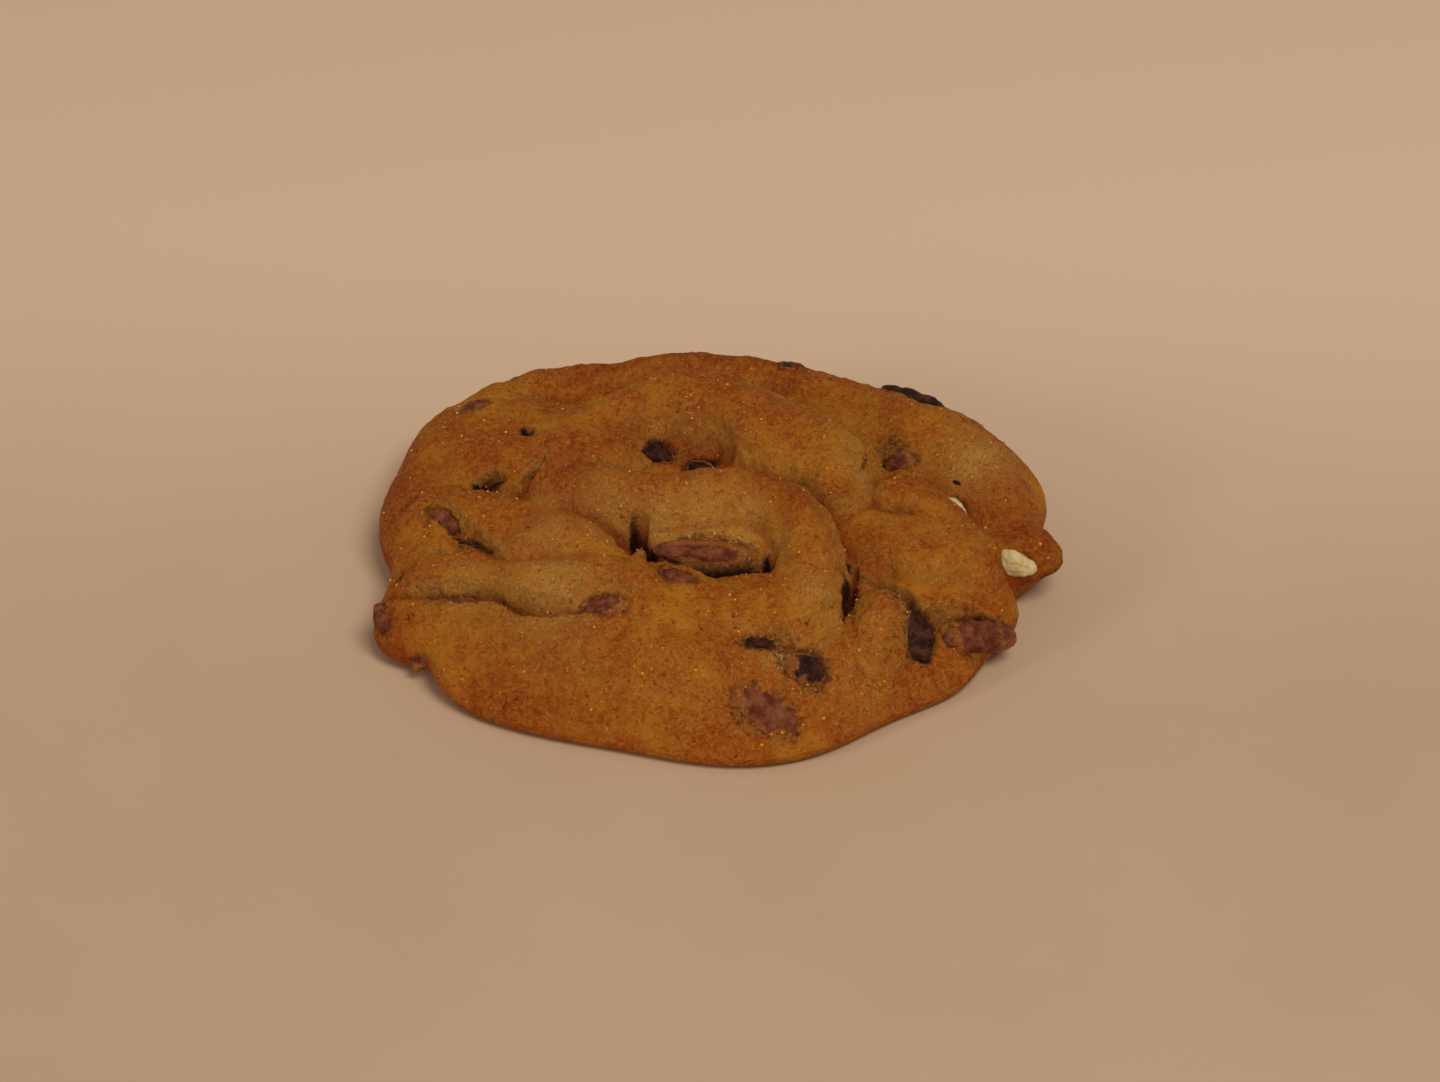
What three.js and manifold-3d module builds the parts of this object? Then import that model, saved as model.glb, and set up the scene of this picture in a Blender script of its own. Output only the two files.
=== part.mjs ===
// A soft chocolate chip cookie whose dough has folded over itself while it baked.
// Millimetres, +Z up, the cookie's front faces -Y. The cookie rests on z = 0.
import * as THREE from "three";
import { mergeVertices } from "three/addons/utils/BufferGeometryUtils.js";
import Module from "manifold-3d";

const wasm = await Module();
wasm.setup();

// Plan outline: an ellipse, pushed out or in around some headings.
const HALF_WIDTH = 42.5;
const HALF_DEPTH = 38;
const BULGES = [
  { name: "left wall", at: -175, spread: 6, out: -1 },
  { name: "left foot", at: -160, spread: 7, out: 3.4 },
  { name: "foot notch", at: -150, spread: 3.5, out: -1.2 },
  { name: "front left", at: -142, spread: 14, out: 1.4 },
  { name: "front slack", at: -108, spread: 16, out: -1.3 },
  { name: "front middle", at: -78, spread: 20, out: 0.9 },
  { name: "front right", at: -52, spread: 16, out: -2.3 },
  { name: "corner", at: -27, spread: 9, out: -1.4 },
  { name: "notch", at: -10.8, spread: 4.8, out: -3.8 },
  { name: "nub foot", at: -6.6, spread: 2.4, out: 1.5 },
  { name: "nub", at: -2.6, spread: 5.2, out: 2.8 },
  { name: "lobe side", at: 8, spread: 4.5, out: -0.8 },
  { name: "right", at: 18, spread: 14, out: 4 },
  { name: "back right", at: 38, spread: 12, out: 4.1 },
  { name: "rim step", at: 49, spread: 4, out: 0.4 },
  { name: "back", at: 92, spread: 16, out: 0.5 },
  { name: "back left", at: 130, spread: 12, out: 4 },
  { name: "left shoulder", at: 146, spread: 14, out: 6.3 },
  { name: "left end", at: 168, spread: 11, out: 2.1 },
];

// The slab under the folds: a long slope in front, a steep side elsewhere.
const DEPTH_IN = 40;
const SLOPE_TOP = 12.4;
const SLOPE_REACH = 8.6;
const SIDE_LOW = 10.5;
const SIDE_RISE = 1.6;
const SIDE_REACH = 8;
const SAGS = [
  { name: "foot", at: -150, spread: 25, drop: 3 },
  { name: "corner", at: -15, spread: 22, drop: 2.5 },
];

// The rim: how high its widest line is, and how far its roundings reach in.
const EDGE_FRONT = 1.8;
const EDGE_SIDE = 4.2;
const EDGE_NUB = 1.2;
const NUB_AT = -4;
const NUB_SPREAD = 5;
const EDGE_FOOT = -1.8;
const FOOT_AT = -156;
const FOOT_SPREAD = 9;
const ROUND_FRONT = 3.2;
const ROUND_SIDE = 6.5;
const ROUND_NUB = -3;
const CURL_FRONT = 1.6;
const CURL_SIDE = 3.6;
const CURL_NUB = 2.6;
const NUB_UNDERCUT = 3;

// Folds of dough. Each path has its places as [x, y, height, half width].
const FOLDS = [
  {
    name: "back rim", drop: 5, blend: 2,
    path: [[-33.5, 22.5, 12.3, 5], [-27.5, 27.5, 13.2, 5], [-21.5, 31, 13.8, 5], [-13.5, 33.5, 14.2, 4.5],
      [-2.5, 34.5, 14.4, 4.5], [8.5, 32.5, 13.8, 4.8], [18, 29, 12.6, 5.5], [24.5, 26.5, 12.6, 6]],
  },
  {
    name: "shoulder", drop: 5, blend: 3,
    path: [[-38.5, 9.5, 9.6, 4], [-35.5, 14.5, 12, 8], [-28, 16, 14, 11], [-18, 12.5, 16.2, 9],
      [-13, 10, 16.8, 5]],
  },
  {
    name: "arc", drop: 8.5, blend: 1,
    path: [[-17.5, 14.5, 16.8, 5], [-10.5, 18.5, 18.2, 5.4], [-4, 20, 18.7, 5.6], [3, 18, 18.7, 6.2],
      [9.5, 13.5, 18.5, 7.6], [14, 9, 18.1, 7], [15.6, 3.6, 17, 5.6], [16.2, -0.5, 15.9, 3.6]],
  },
  {
    name: "plateau", drop: 4, blend: 3,
    path: [[-6, -19, 12.2, 4.6], [2, -18.8, 13.1, 5.2], [8.5, -18.8, 13.6, 6]],
  },
  {
    name: "block", drop: 5.5, blend: 0.8,
    path: [[-38.5, 0.6, 10.6, 2.8], [-34.5, 1, 12.2, 4], [-29.5, -0.2, 13.5, 5], [-25, -2.4, 14.1, 5.4],
      [-20, -5.6, 14, 5]],
  },
  {
    name: "bridge", drop: 4, blend: 1.5,
    path: [[-23, -6.5, 13.6, 4.6], [-17.5, -7, 14.2, 4.4], [-13.4, -9.4, 13.4, 3.2]],
  },
  {
    name: "left wall", drop: 5, blend: 1.4,
    path: [[-41, 3.4, 8.6, 2.4], [-40, -1.4, 9.4, 3], [-38.4, -5.6, 9.2, 2.4]],
  },
  {
    name: "left rope", drop: 6.5, blend: 0.7,
    path: [[-38.5, -10.6, 9.8, 2.8], [-34, -11.6, 11.4, 3.6], [-27.4, -13.2, 12.8, 4.4],
      [-21, -14.8, 13.6, 5.4], [-14.8, -13.2, 13.9, 4.8], [-10.2, -14.8, 13.6, 4], [-6, -18.2, 12.8, 3.2]],
  },
  {
    name: "lobe", drop: 6.5, blend: 1,
    path: [[22.5, 24.4, 13, 5], [28.6, 19.6, 13.9, 6.2], [34.4, 12.8, 14.1, 6.4], [38.2, 6.6, 12.8, 4.8],
      [39.8, 2.4, 11.2, 3.2]],
  },
  {
    name: "tongue", drop: 3.5, blend: 1.2,
    path: [[23, 4, 13.2, 3.2], [26.5, 3.2, 13.2, 4], [30, 1, 12.2, 3.2]],
  },
  {
    name: "right mass", drop: 7, blend: 0.9,
    path: [[18.8, -4.6, 13.4, 5.6], [24.3, -6, 13.8, 7], [30.6, -7.6, 13.1, 7.2], [34.6, -9.6, 11.4, 5.8]],
  },
  {
    name: "lump", drop: 7, blend: 0.5,
    path: [[21.4, -18.4, 12.8, 4.2], [20.8, -22, 11.2, 4.4], [20, -24.6, 9, 3.6]],
  },
  {
    name: "ring", drop: 9, blend: 1,
    path: [[-20.8, -0.4, 16.6, 4], [-17.4, 1.2, 18, 4.8], [-12.4, -0.2, 18, 5.2], [-6.8, -1.4, 18.4, 5.2],
      [-1.7, -1.8, 18.9, 5], [4, -2, 18.9, 5], [9.4, -4.2, 18.5, 5.2], [12, -9.6, 17.5, 5.5],
      [12.2, -15.5, 16, 5.5], [11.8, -20.4, 14.4, 5.2], [10.8, -23.8, 12.4, 4.4]],
  },
  {
    name: "inner wall", drop: 7, blend: 1.5,
    path: [[-5.2, -7, 13.2, 3.2], [-1.5, -7.2, 13.8, 4.6], [2.6, -7.4, 13.8, 4.6], [5.6, -8, 13.6, 3.6]],
  },
  {
    name: "nub", drop: 3.4, blend: 1.2,
    path: [[39.4, 1.4, 10.2, 3], [41.4, -1, 10, 3], [42.4, -2.6, 9.6, 2.8]],
  },
];

// Hollows and creases between the folds: [x, y, floor height, half width].
const HOLLOWS = [
  {
    name: "centre", wall: 6, blend: 0.5,
    path: [[-8.2, -9.8, 8, 1.2], [-4.4, -11.6, 8.4, 1.1], [0, -12.4, 8.4, 1.2], [4, -12.6, 8.2, 1.3],
      [7, -12.2, 7.6, 1.5]],
  },
  { name: "centre pit", wall: 9, blend: 0.4, path: [[-9.4, -6.1, 6.5, 1.3], [-8.2, -7.9, 7, 1.2]] },
  {
    name: "upper", wall: 6, blend: 0.7,
    path: [[-8.6, 11.4, 12, 2.4], [-5.4, 11.6, 11.2, 3.8], [-1, 11, 10, 3.6], [1.2, 10.4, 10.4, 2.4]],
  },
  {
    name: "back valley", wall: 3, blend: 1,
    path: [[-21, 24.5, 12.4, 1], [-16.5, 24, 12.2, 1.4], [-10, 26.6, 11.8, 1.8], [-2, 27.6, 11.4, 2],
      [6, 25.6, 11.4, 2], [13.5, 20.6, 11.4, 2], [18.5, 16.5, 11.6, 1.6]],
  },
  {
    name: "right valley", wall: 4, blend: 0.9,
    path: [[20.6, 19.6, 11.8, 1.6], [22.8, 14.6, 10.4, 2.8], [23.2, 10, 10.4, 2.4], [21.8, 5.6, 11, 1.3]],
  },
  {
    name: "left slit", wall: 5, blend: 0.6,
    path: [[-31.2, 6.6, 10.4, 0.6], [-29.4, 6.8, 7.6, 0.9], [-27.6, 6.4, 9, 0.7]],
  },
  {
    name: "bulge crease", wall: 5, blend: 0.6,
    path: [[-21.6, 8.4, 13.2, 0.6], [-24, 5.4, 11.4, 0.9], [-25, 1.6, 11.4, 0.8]],
  },
  {
    name: "block crease", wall: 5, blend: 0.6,
    path: [[-40, 2.8, 7.6, 0.6], [-37.6, 4.9, 8.6, 0.7], [-33, 5.6, 10, 0.8], [-28, 5, 10.6, 0.8],
      [-25.2, 4, 11, 0.8]],
  },
  {
    name: "left groove", wall: 5, blend: 0.6,
    path: [[-36.4, 0.8, 10.2, 1.4], [-34.4, -0.8, 9.6, 2.2], [-32, -3.4, 9.4, 1.4], [-28.8, -6, 9.6, 0.8]],
  },
  {
    name: "left cut", wall: 5, blend: 0.6,
    path: [[-40.6, -9.4, 5.8, 0.8], [-37.6, -7.2, 6.8, 0.9], [-34.6, -6, 8, 0.8], [-31, -6.4, 9.2, 0.7]],
  },
  {
    name: "rope foot", wall: 5, blend: 0.6,
    path: [[-40.6, -12.6, 5.6, 0.7], [-36, -14.2, 6.6, 0.9], [-28.2, -15.8, 7.6, 1], [-23, -18.6, 7.8, 1.1],
      [-18.5, -19.2, 8.4, 1], [-15, -19.2, 9.2, 0.8]],
  },
  {
    name: "right gap", wall: 6, blend: 0.6,
    path: [[18.4, -10.6, 9.6, 0.6], [18, -14.4, 8.4, 0.8], [17.2, -18, 7.8, 0.9], [16, -21.2, 9, 0.6]],
  },
  {
    name: "right crease", wall: 5, blend: 0.5,
    path: [[17.8, -12.6, 9.4, 0.8], [20.8, -13.4, 8.4, 0.9], [23.6, -14.6, 7.8, 1], [26, -17.2, 6.8, 1.4],
      [30.5, -17.4, 6.4, 1.3], [33.5, -16.6, 6, 0.9]],
  },
  {
    name: "lump side", wall: 5, blend: 0.5,
    path: [[26, -17.4, 7.4, 1], [25.8, -21, 6.4, 1.2], [25.2, -23.6, 5.6, 0.8]],
  },
  {
    name: "lobe crease", wall: 3, blend: 1.2,
    path: [[25, 9.4, 11.6, 0.9], [29.2, 6, 10.4, 1.4], [32.2, 3, 9.8, 1.6], [35.4, -0.4, 9.6, 1.2]],
  },
  {
    name: "rim crease", wall: 4, blend: 0.7,
    path: [[24.5, 29, 10.8, 0.7], [31, 25.4, 10.4, 0.7], [37, 19, 10, 0.6]],
  },
  { name: "shoulder pit", wall: 4, blend: 0.5, path: [[-24.4, 13.6, 11, 1]] },
];

// Broad unevenness of the dough: waves of shrinking length and height.
const SWELL_WAVES = 7;
const SWELL_LENGTH = 21;
const SWELL_HEIGHT = 0.26;
const SWELL_SHORTER = 0.8;
const SWELL_LOWER = 0.84;
const SWELL_TURN = 2.399;
const SWELL_START = 0.4;
const SWELL_PHASE = 1.7;

// Pieces of chocolate: plan place, half sizes along, across and deep, and heading.
// The lift is the height of a piece's middle over the dough.
const MILK = { name: "milk_chocolate", color: 0x5d3020, roughness: 0.5 };
const DARK = { name: "dark_chocolate", color: 0x271713, roughness: 0.45 };
const WHITE = { name: "white_chocolate", color: 0xe9d6a8, roughness: 0.55 };
const PIECES = [
  { name: "front_chip", kind: MILK, at: [6.1, -34], half: [4.4, 2.8, 1.8], turn: -34, lift: -1.35 },
  { name: "swirl_chip", kind: DARK, at: [11.4, -28], half: [3.4, 2.8, 2], turn: -40, lift: -1.2 },
  { name: "swirl_tail_chip", kind: DARK, at: [6.2, -25.7], half: [2.7, 0.9, 1.2], turn: -4, lift: -0.7 },
  { name: "step_chip", kind: MILK, at: [-13.6, -18.8], half: [2.9, 1.6, 1.5], turn: 4, lift: -0.6 },
  { name: "rope_chip", kind: MILK, at: [-31.6, -15.2], half: [4.6, 1, 1.6], turn: -6, lift: -0.4 },
  { name: "block_chip", kind: MILK, at: [-34.7, -0.2], half: [2.9, 2, 1.6], turn: -36, lift: -0.8 },
  { name: "groove_chip", kind: DARK, at: [-30.8, -4.6], half: [2.8, 1, 1.2], turn: -36, lift: -0.6 },
  { name: "upper_chip", kind: DARK, at: [-7.2, 12.9], half: [2.3, 1.6, 1.4], turn: 0, lift: -0.2 },
  { name: "upper_right_chip", kind: DARK, at: [-1.7, 11.8], half: [2.2, 1.8, 1.4], turn: 0, lift: -0.5 },
  { name: "centre_chip", kind: MILK, at: [0, -10.2], half: [7, 1.8, 1.3], turn: -5, lift: -0.6 },
  { name: "lip_chip", kind: MILK, at: [-4.8, -15], half: [3.4, 1.5, 1.2], turn: -35, lift: -0.5 },
  { name: "valley_chip", kind: MILK, at: [24.6, 11.9], half: [2.8, 1.9, 1.4], turn: -10, lift: -0.2 },
  { name: "gap_chip", kind: DARK, at: [17, -18.4], half: [0.9, 2.2, 1.2], turn: -12, lift: 0.3 },
  { name: "corner_chip", kind: MILK, at: [33.9, -18.4], half: [4.7, 2.3, 2], turn: 10, lift: -0.9 },
  { name: "lump_chip", kind: DARK, at: [25.2, -20.2], half: [2.5, 3.5, 2.4], turn: 6, lift: 0.1 },
  { name: "shoulder_chip", kind: MILK, at: [-32.2, 21.6], half: [2.3, 1.3, 1], turn: 12, lift: -0.5 },
  { name: "pit_chip", kind: DARK, at: [-24.4, 13.8], half: [0.8, 1.1, 0.8], turn: 0, lift: -0.2 },
  { name: "rim_chip", kind: DARK, at: [27.2, 26.6], half: [5.4, 1.5, 1.4], turn: -30, lift: -0.5 },
  { name: "edge_chip", kind: MILK, at: [-42, -14.8], half: [1.1, 2.8, 1.5], turn: 18, lift: -0.8 },
  { name: "foot_chip", kind: MILK, at: [-36.8, -20.2], half: [1.4, 1, 0.9], turn: 28, lift: -0.4 },
  { name: "back_chip", kind: DARK, at: [10.4, 31.8], half: [1.4, 0.9, 0.8], turn: 0, lift: -0.4 },
  { name: "nub_chip", kind: WHITE, at: [39, -5.8], half: [2.9, 1.5, 1.3], turn: -28, lift: 0 },
  { name: "lobe_chip", kind: WHITE, at: [31.9, 3.3], half: [2.2, 1, 1], turn: -56, lift: 0.2 },
];
const PIECE_GAP = 0.3;
const PIECE_UNEVEN = 0.07;
const BIG_PIECE = 4;

// Mesh fineness: splits of an icosahedron's edge, and steps along a path's span.
const DOUGH_DETAIL = 18;
const BIG_DETAIL = 2;
const SMALL_DETAIL = 1;
const PATH_STEPS = 8;
const POINT_REACH = 0.1;
const RIM_ANGLE = (140 * Math.PI) / 180;
const RIM_FINER = 0.35;

const degrees = (radians) => (radians * 180) / Math.PI;
const clamp = (v, low, high) => Math.min(Math.max(v, low), high);
const bell = (gap, spread) => Math.exp(-((gap / spread) ** 2));
const mix = (a, b, share) => a + (b - a) * share;

function smoothStep(low, high, v) {
  const t = clamp((v - low) / (high - low), 0, 1);
  return t * t * (3 - 2 * t);
}

function smoothMax(a, b, blend) {
  const share = clamp(0.5 + (0.5 * (a - b)) / blend, 0, 1);
  return mix(b, a, share) + blend * share * (1 - share);
}

const smoothMin = (a, b, blend) => -smoothMax(-a, -b, blend);

function turnGap(heading, at) {
  return ((((heading - at + 180) % 360) + 360) % 360) - 180;
}

function outline(theta) {
  let radius = 1 / Math.hypot(Math.cos(theta) / HALF_WIDTH, Math.sin(theta) / HALF_DEPTH);
  for (const { at, spread, out } of BULGES) {
    radius += out * bell(turnGap(degrees(theta), at), spread);
  }
  return radius;
}

// A smooth curve through a path's places, as short straight spans.
function curve(path) {
  if (path.length === 1) {
    return [path[0], path[0].map((v, i) => (i === 0 ? v + POINT_REACH : v))];
  }
  const first = path[0].map((v, i) => 2 * v - path[1][i]);
  const last = path.at(-1).map((v, i) => 2 * v - path.at(-2)[i]);
  const ends = [first, ...path, last];
  const rows = [];
  for (let i = 0; i + 3 < ends.length; i += 1) {
    for (let s = 0; s < PATH_STEPS; s += 1) {
      const t = s / PATH_STEPS;
      rows.push(path[0].map((_, k) => {
        const [a, b, c, d] = [ends[i][k], ends[i + 1][k], ends[i + 2][k], ends[i + 3][k]];
        const square = (2 * a - 5 * b + 4 * c - d) * t * t;
        const cube = (3 * b - a - 3 * c + d) * t ** 3;
        return 0.5 * (2 * b + (c - a) * t + square + cube);
      }));
    }
  }
  rows.push(path.at(-1));
  return rows;
}

for (const feature of [...FOLDS, ...HOLLOWS]) {
  feature.curve = curve(feature.path);
}

// The nearest place of a curve: its distance as a share of the half width, and its height.
function nearest(x, y, rows) {
  let best = { share: Infinity, height: 0 };
  for (let i = 0; i + 1 < rows.length; i += 1) {
    const [ax, ay, az, aw] = rows[i];
    const [bx, by, bz, bw] = rows[i + 1];
    const length = (bx - ax) ** 2 + (by - ay) ** 2;
    const t = clamp(((x - ax) * (bx - ax) + (y - ay) * (by - ay)) / length, 0, 1);
    const share = Math.hypot(x - mix(ax, bx, t), y - mix(ay, by, t)) / mix(aw, bw, t);
    if (share < best.share) {
      best = { share, height: mix(az, bz, t) };
    }
  }
  return best;
}

function swell(x, y) {
  let total = 0;
  for (let i = 0; i < SWELL_WAVES; i += 1) {
    const turn = SWELL_TURN * i + SWELL_START;
    const length = SWELL_LENGTH * SWELL_SHORTER ** i;
    const along = x * Math.cos(turn) + y * Math.sin(turn);
    total += SWELL_HEIGHT * SWELL_LOWER ** i * Math.sin((2 * Math.PI * along) / length + SWELL_PHASE * i);
  }
  return total;
}

// What a plan place has in common for the top and the underside.
function edgeAt(x, y) {
  const theta = Math.atan2(y, x);
  const heading = degrees(theta);
  const inside = (1 - Math.min(Math.hypot(x, y) / outline(theta), 1)) * DEPTH_IN;
  const front = smoothStep(-150, -135, heading) * (1 - smoothStep(-40, -20, heading));
  const nub = bell(turnGap(heading, NUB_AT), NUB_SPREAD);
  const foot = bell(turnGap(heading, FOOT_AT), FOOT_SPREAD);
  const edge = mix(EDGE_SIDE, EDGE_FRONT, front) + EDGE_NUB * nub + EDGE_FOOT * foot;
  return { heading, inside, front, nub, edge };
}

const roundUp = (share) => Math.sqrt(1 - (1 - clamp(share, 0, 1)) ** 2);

function topAt(x, y) {
  const { heading, inside, front, nub, edge } = edgeAt(x, y);
  const slope = SLOPE_TOP * (1 - Math.exp(-(inside + 1.2) / SLOPE_REACH));
  let side = SIDE_LOW + SIDE_RISE * (1 - Math.exp(-inside / SIDE_REACH));
  for (const { at, spread, drop } of SAGS) {
    side -= drop * bell(heading - at, spread);
  }
  let z = mix(side, slope, front);
  for (const fold of FOLDS) {
    const { share, height } = nearest(x, y, fold.curve);
    const foot = height - fold.drop;
    const back = share < 1 ? foot + fold.drop * Math.sqrt(1 - share * share) : foot - 8 * (share - 1);
    z = smoothMax(z, back, fold.blend);
  }
  for (const hollow of HOLLOWS) {
    const { share, height } = nearest(x, y, hollow.curve);
    z = smoothMin(z, height + hollow.wall * share ** 3, hollow.blend);
  }
  z += swell(x, y) * smoothStep(0, 6, inside);
  const wide = mix(ROUND_SIDE, ROUND_FRONT, front) + ROUND_NUB * nub;
  return mix(edge, z, roundUp(inside / wide));
}

function underAt(x, y) {
  const { inside, front, nub, edge } = edgeAt(x, y);
  const wide = mix(CURL_SIDE, CURL_FRONT, front) + CURL_NUB * nub;
  return edge * (1 - roundUp(inside / wide) ** (1 + NUB_UNDERCUT * nub));
}

// A ball's vertices laid out as the dough: the cap above the rim angle is the top.
function doughGeometry() {
  const geometry = new THREE.IcosahedronGeometry(1, DOUGH_DETAIL);
  const position = geometry.attributes.position;
  for (let i = 0; i < position.count; i += 1) {
    const down = Math.acos(clamp(position.getZ(i), -1, 1));
    const theta = Math.atan2(position.getY(i), position.getX(i));
    const isTop = down <= RIM_ANGLE;
    const angle = isTop ? down : Math.PI - down;
    const whole = isTop ? RIM_ANGLE : Math.PI - RIM_ANGLE;
    const even = Math.sqrt((1 - Math.cos(angle)) / (1 - Math.cos(whole)));
    const share = mix(even, Math.sin((Math.PI / 2) * (angle / whole)), RIM_FINER);
    const x = share * outline(theta) * Math.cos(theta);
    const y = share * outline(theta) * Math.sin(theta);
    position.setXYZ(i, x, y, isTop ? topAt(x, y) : underAt(x, y));
  }
  return geometry;
}

// A piece's axes: along its heading, across it, and out of the dough.
function pieceFrame({ at: [x, y], turn, lift }) {
  const e = 0.6;
  const slopeX = (topAt(x + e, y) - topAt(x - e, y)) / (2 * e);
  const slopeY = (topAt(x, y + e) - topAt(x, y - e)) / (2 * e);
  const gentle = Math.min(1, 1.2 / Math.max(Math.hypot(slopeX, slopeY), 1e-6));
  const out = new THREE.Vector3(-slopeX * gentle, -slopeY * gentle, 1).normalize();
  const heading = (turn * Math.PI) / 180;
  const along = new THREE.Vector3(Math.cos(heading), Math.sin(heading), 0);
  along.addScaledVector(out, -along.dot(out)).normalize();
  const across = new THREE.Vector3().crossVectors(out, along);
  const middle = new THREE.Vector3(x, y, topAt(x, y)).addScaledVector(out, lift);
  return new THREE.Matrix4().makeBasis(along, across, out).setPosition(middle);
}

// A slightly uneven ball stretched to a piece's half sizes, grown by a gap for its pocket.
function pieceGeometry(piece, index, gap) {
  const isBig = Math.max(...piece.half) >= BIG_PIECE;
  const geometry = new THREE.IcosahedronGeometry(1, isBig ? BIG_DETAIL : SMALL_DETAIL);
  const position = geometry.attributes.position;
  const [along, across, deep] = piece.half;
  for (let i = 0; i < position.count; i += 1) {
    const [x, y, z] = [position.getX(i), position.getY(i), position.getZ(i)];
    const wave = Math.sin(3.1 * x + 1.3 * index) + Math.sin(2.7 * y + 2.1 * index) + Math.sin(3.7 * z + index);
    const r = 1 + PIECE_UNEVEN * wave;
    position.setXYZ(i, x * (along * r + gap), y * (across * r + gap), z * (deep * r + gap));
  }
  return geometry.applyMatrix4(pieceFrame(piece));
}

function solid(geometry) {
  geometry.deleteAttribute("normal");
  geometry.deleteAttribute("uv");
  const merged = mergeVertices(geometry, 1e-4);
  return new wasm.Manifold(new wasm.Mesh({
    numProp: 3,
    vertProperties: new Float32Array(merged.attributes.position.array),
    triVerts: new Uint32Array(merged.index.array),
  }));
}

function meshOf(body, name, kind) {
  const mesh = body.getMesh();
  const geometry = new THREE.BufferGeometry();
  geometry.setAttribute("position", new THREE.BufferAttribute(new Float32Array(mesh.vertProperties), 3));
  geometry.setIndex(new THREE.BufferAttribute(new Uint32Array(mesh.triVerts), 1));
  geometry.computeVertexNormals();
  const material = new THREE.MeshStandardMaterial({ ...kind, metalness: 0 });
  const node = new THREE.Mesh(geometry, material);
  node.name = name;
  return node;
}

const DOUGH = { name: "dough", color: 0xb4702f, roughness: 0.85 };

function build() {
  const cookie = new THREE.Group();
  cookie.name = "cookie";
  let dough = solid(doughGeometry());
  PIECES.forEach((piece, index) => {
    dough = dough.subtract(solid(pieceGeometry(piece, index, PIECE_GAP)));
    cookie.add(meshOf(solid(pieceGeometry(piece, index, 0)), piece.name, piece.kind));
  });
  cookie.add(meshOf(dough, "dough", DOUGH));

  const box = new THREE.Box3().setFromObject(cookie);
  const middle = box.getCenter(new THREE.Vector3());
  for (const node of cookie.children) {
    node.geometry.translate(-middle.x, -middle.y, -box.min.z);
  }
  return cookie;
}

export default build();
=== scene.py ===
"""A soft chocolate chip cookie with folded dough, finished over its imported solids.

Form sizes are in millimetres, in the cookie's own plan, and are placed in the frame by place().
"""
import math

import bmesh
import bpy
import numpy as np
from mathutils import Matrix, Vector


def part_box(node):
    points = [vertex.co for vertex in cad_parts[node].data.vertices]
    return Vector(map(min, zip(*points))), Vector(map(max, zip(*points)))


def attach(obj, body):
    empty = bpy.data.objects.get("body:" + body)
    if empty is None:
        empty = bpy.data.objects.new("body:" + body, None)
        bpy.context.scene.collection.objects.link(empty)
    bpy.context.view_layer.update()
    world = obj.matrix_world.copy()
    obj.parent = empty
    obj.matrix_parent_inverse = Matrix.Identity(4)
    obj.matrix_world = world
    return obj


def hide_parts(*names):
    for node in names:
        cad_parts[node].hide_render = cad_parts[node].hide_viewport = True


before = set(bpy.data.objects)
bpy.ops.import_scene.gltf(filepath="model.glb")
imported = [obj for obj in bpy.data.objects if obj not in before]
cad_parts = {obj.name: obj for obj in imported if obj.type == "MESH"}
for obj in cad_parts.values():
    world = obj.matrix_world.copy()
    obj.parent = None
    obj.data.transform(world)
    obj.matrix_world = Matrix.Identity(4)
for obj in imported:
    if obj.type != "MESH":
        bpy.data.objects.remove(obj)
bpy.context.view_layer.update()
MM = 0.001

# Plan outline: an ellipse, pushed out or in around some headings (heading, spread, out).
HALF_WIDTH = 42.5
HALF_DEPTH = 38.0
BULGES = {
    "left wall": (-175, 6, -1),
    "left foot": (-160, 7, 3.4),
    "foot notch": (-150, 3.5, -1.2),
    "front left": (-142, 14, 1.4),
    "front slack": (-108, 16, -1.3),
    "front middle": (-78, 20, 0.9),
    "front right": (-52, 16, -2.3),
    "corner": (-27, 9, -1.4),
    "notch": (-10.8, 4.8, -3.8),
    "nub foot": (-6.6, 2.4, 1.5),
    "nub": (-2.6, 5.2, 2.8),
    "lobe side": (8, 4.5, -0.8),
    "right": (18, 14, 4),
    "back right": (38, 12, 4.1),
    "rim step": (49, 4, 0.4),
    "back": (92, 16, 0.5),
    "back left": (130, 12, 4),
    "left shoulder": (146, 14, 6.3),
    "left end": (168, 11, 2.1),
}

# The slab under the folds, and its rim.
DEPTH_IN = 40.0
SLOPE_TOP, SLOPE_REACH = 12.4, 8.6
SIDE_LOW, SIDE_RISE, SIDE_REACH = 10.5, 1.6, 8.0
FOOT_SAG = (-150, 25, 3.0)
CORNER_SAG = (-15, 22, 2.5)
EDGE_FRONT, EDGE_SIDE, EDGE_NUB, EDGE_FOOT = 1.8, 4.2, 1.2, -1.8
NUB_AT, NUB_SPREAD = -4, 5
FOOT_AT, FOOT_SPREAD = -156, 9
ROUND_FRONT, ROUND_SIDE, ROUND_NUB = 3.2, 6.5, -3
CURL_FRONT, CURL_SIDE, CURL_NUB = 1.6, 3.6, 2.6
NUB_UNDERCUT = 3
# The slope counts from this far outside the rim, and the front's edge fades in and out at these headings.
SLOPE_OUTSIDE = 1.2
FRONT_FADES_IN, FRONT_FADES_OUT = (-150, -135), (-40, -20)

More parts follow.
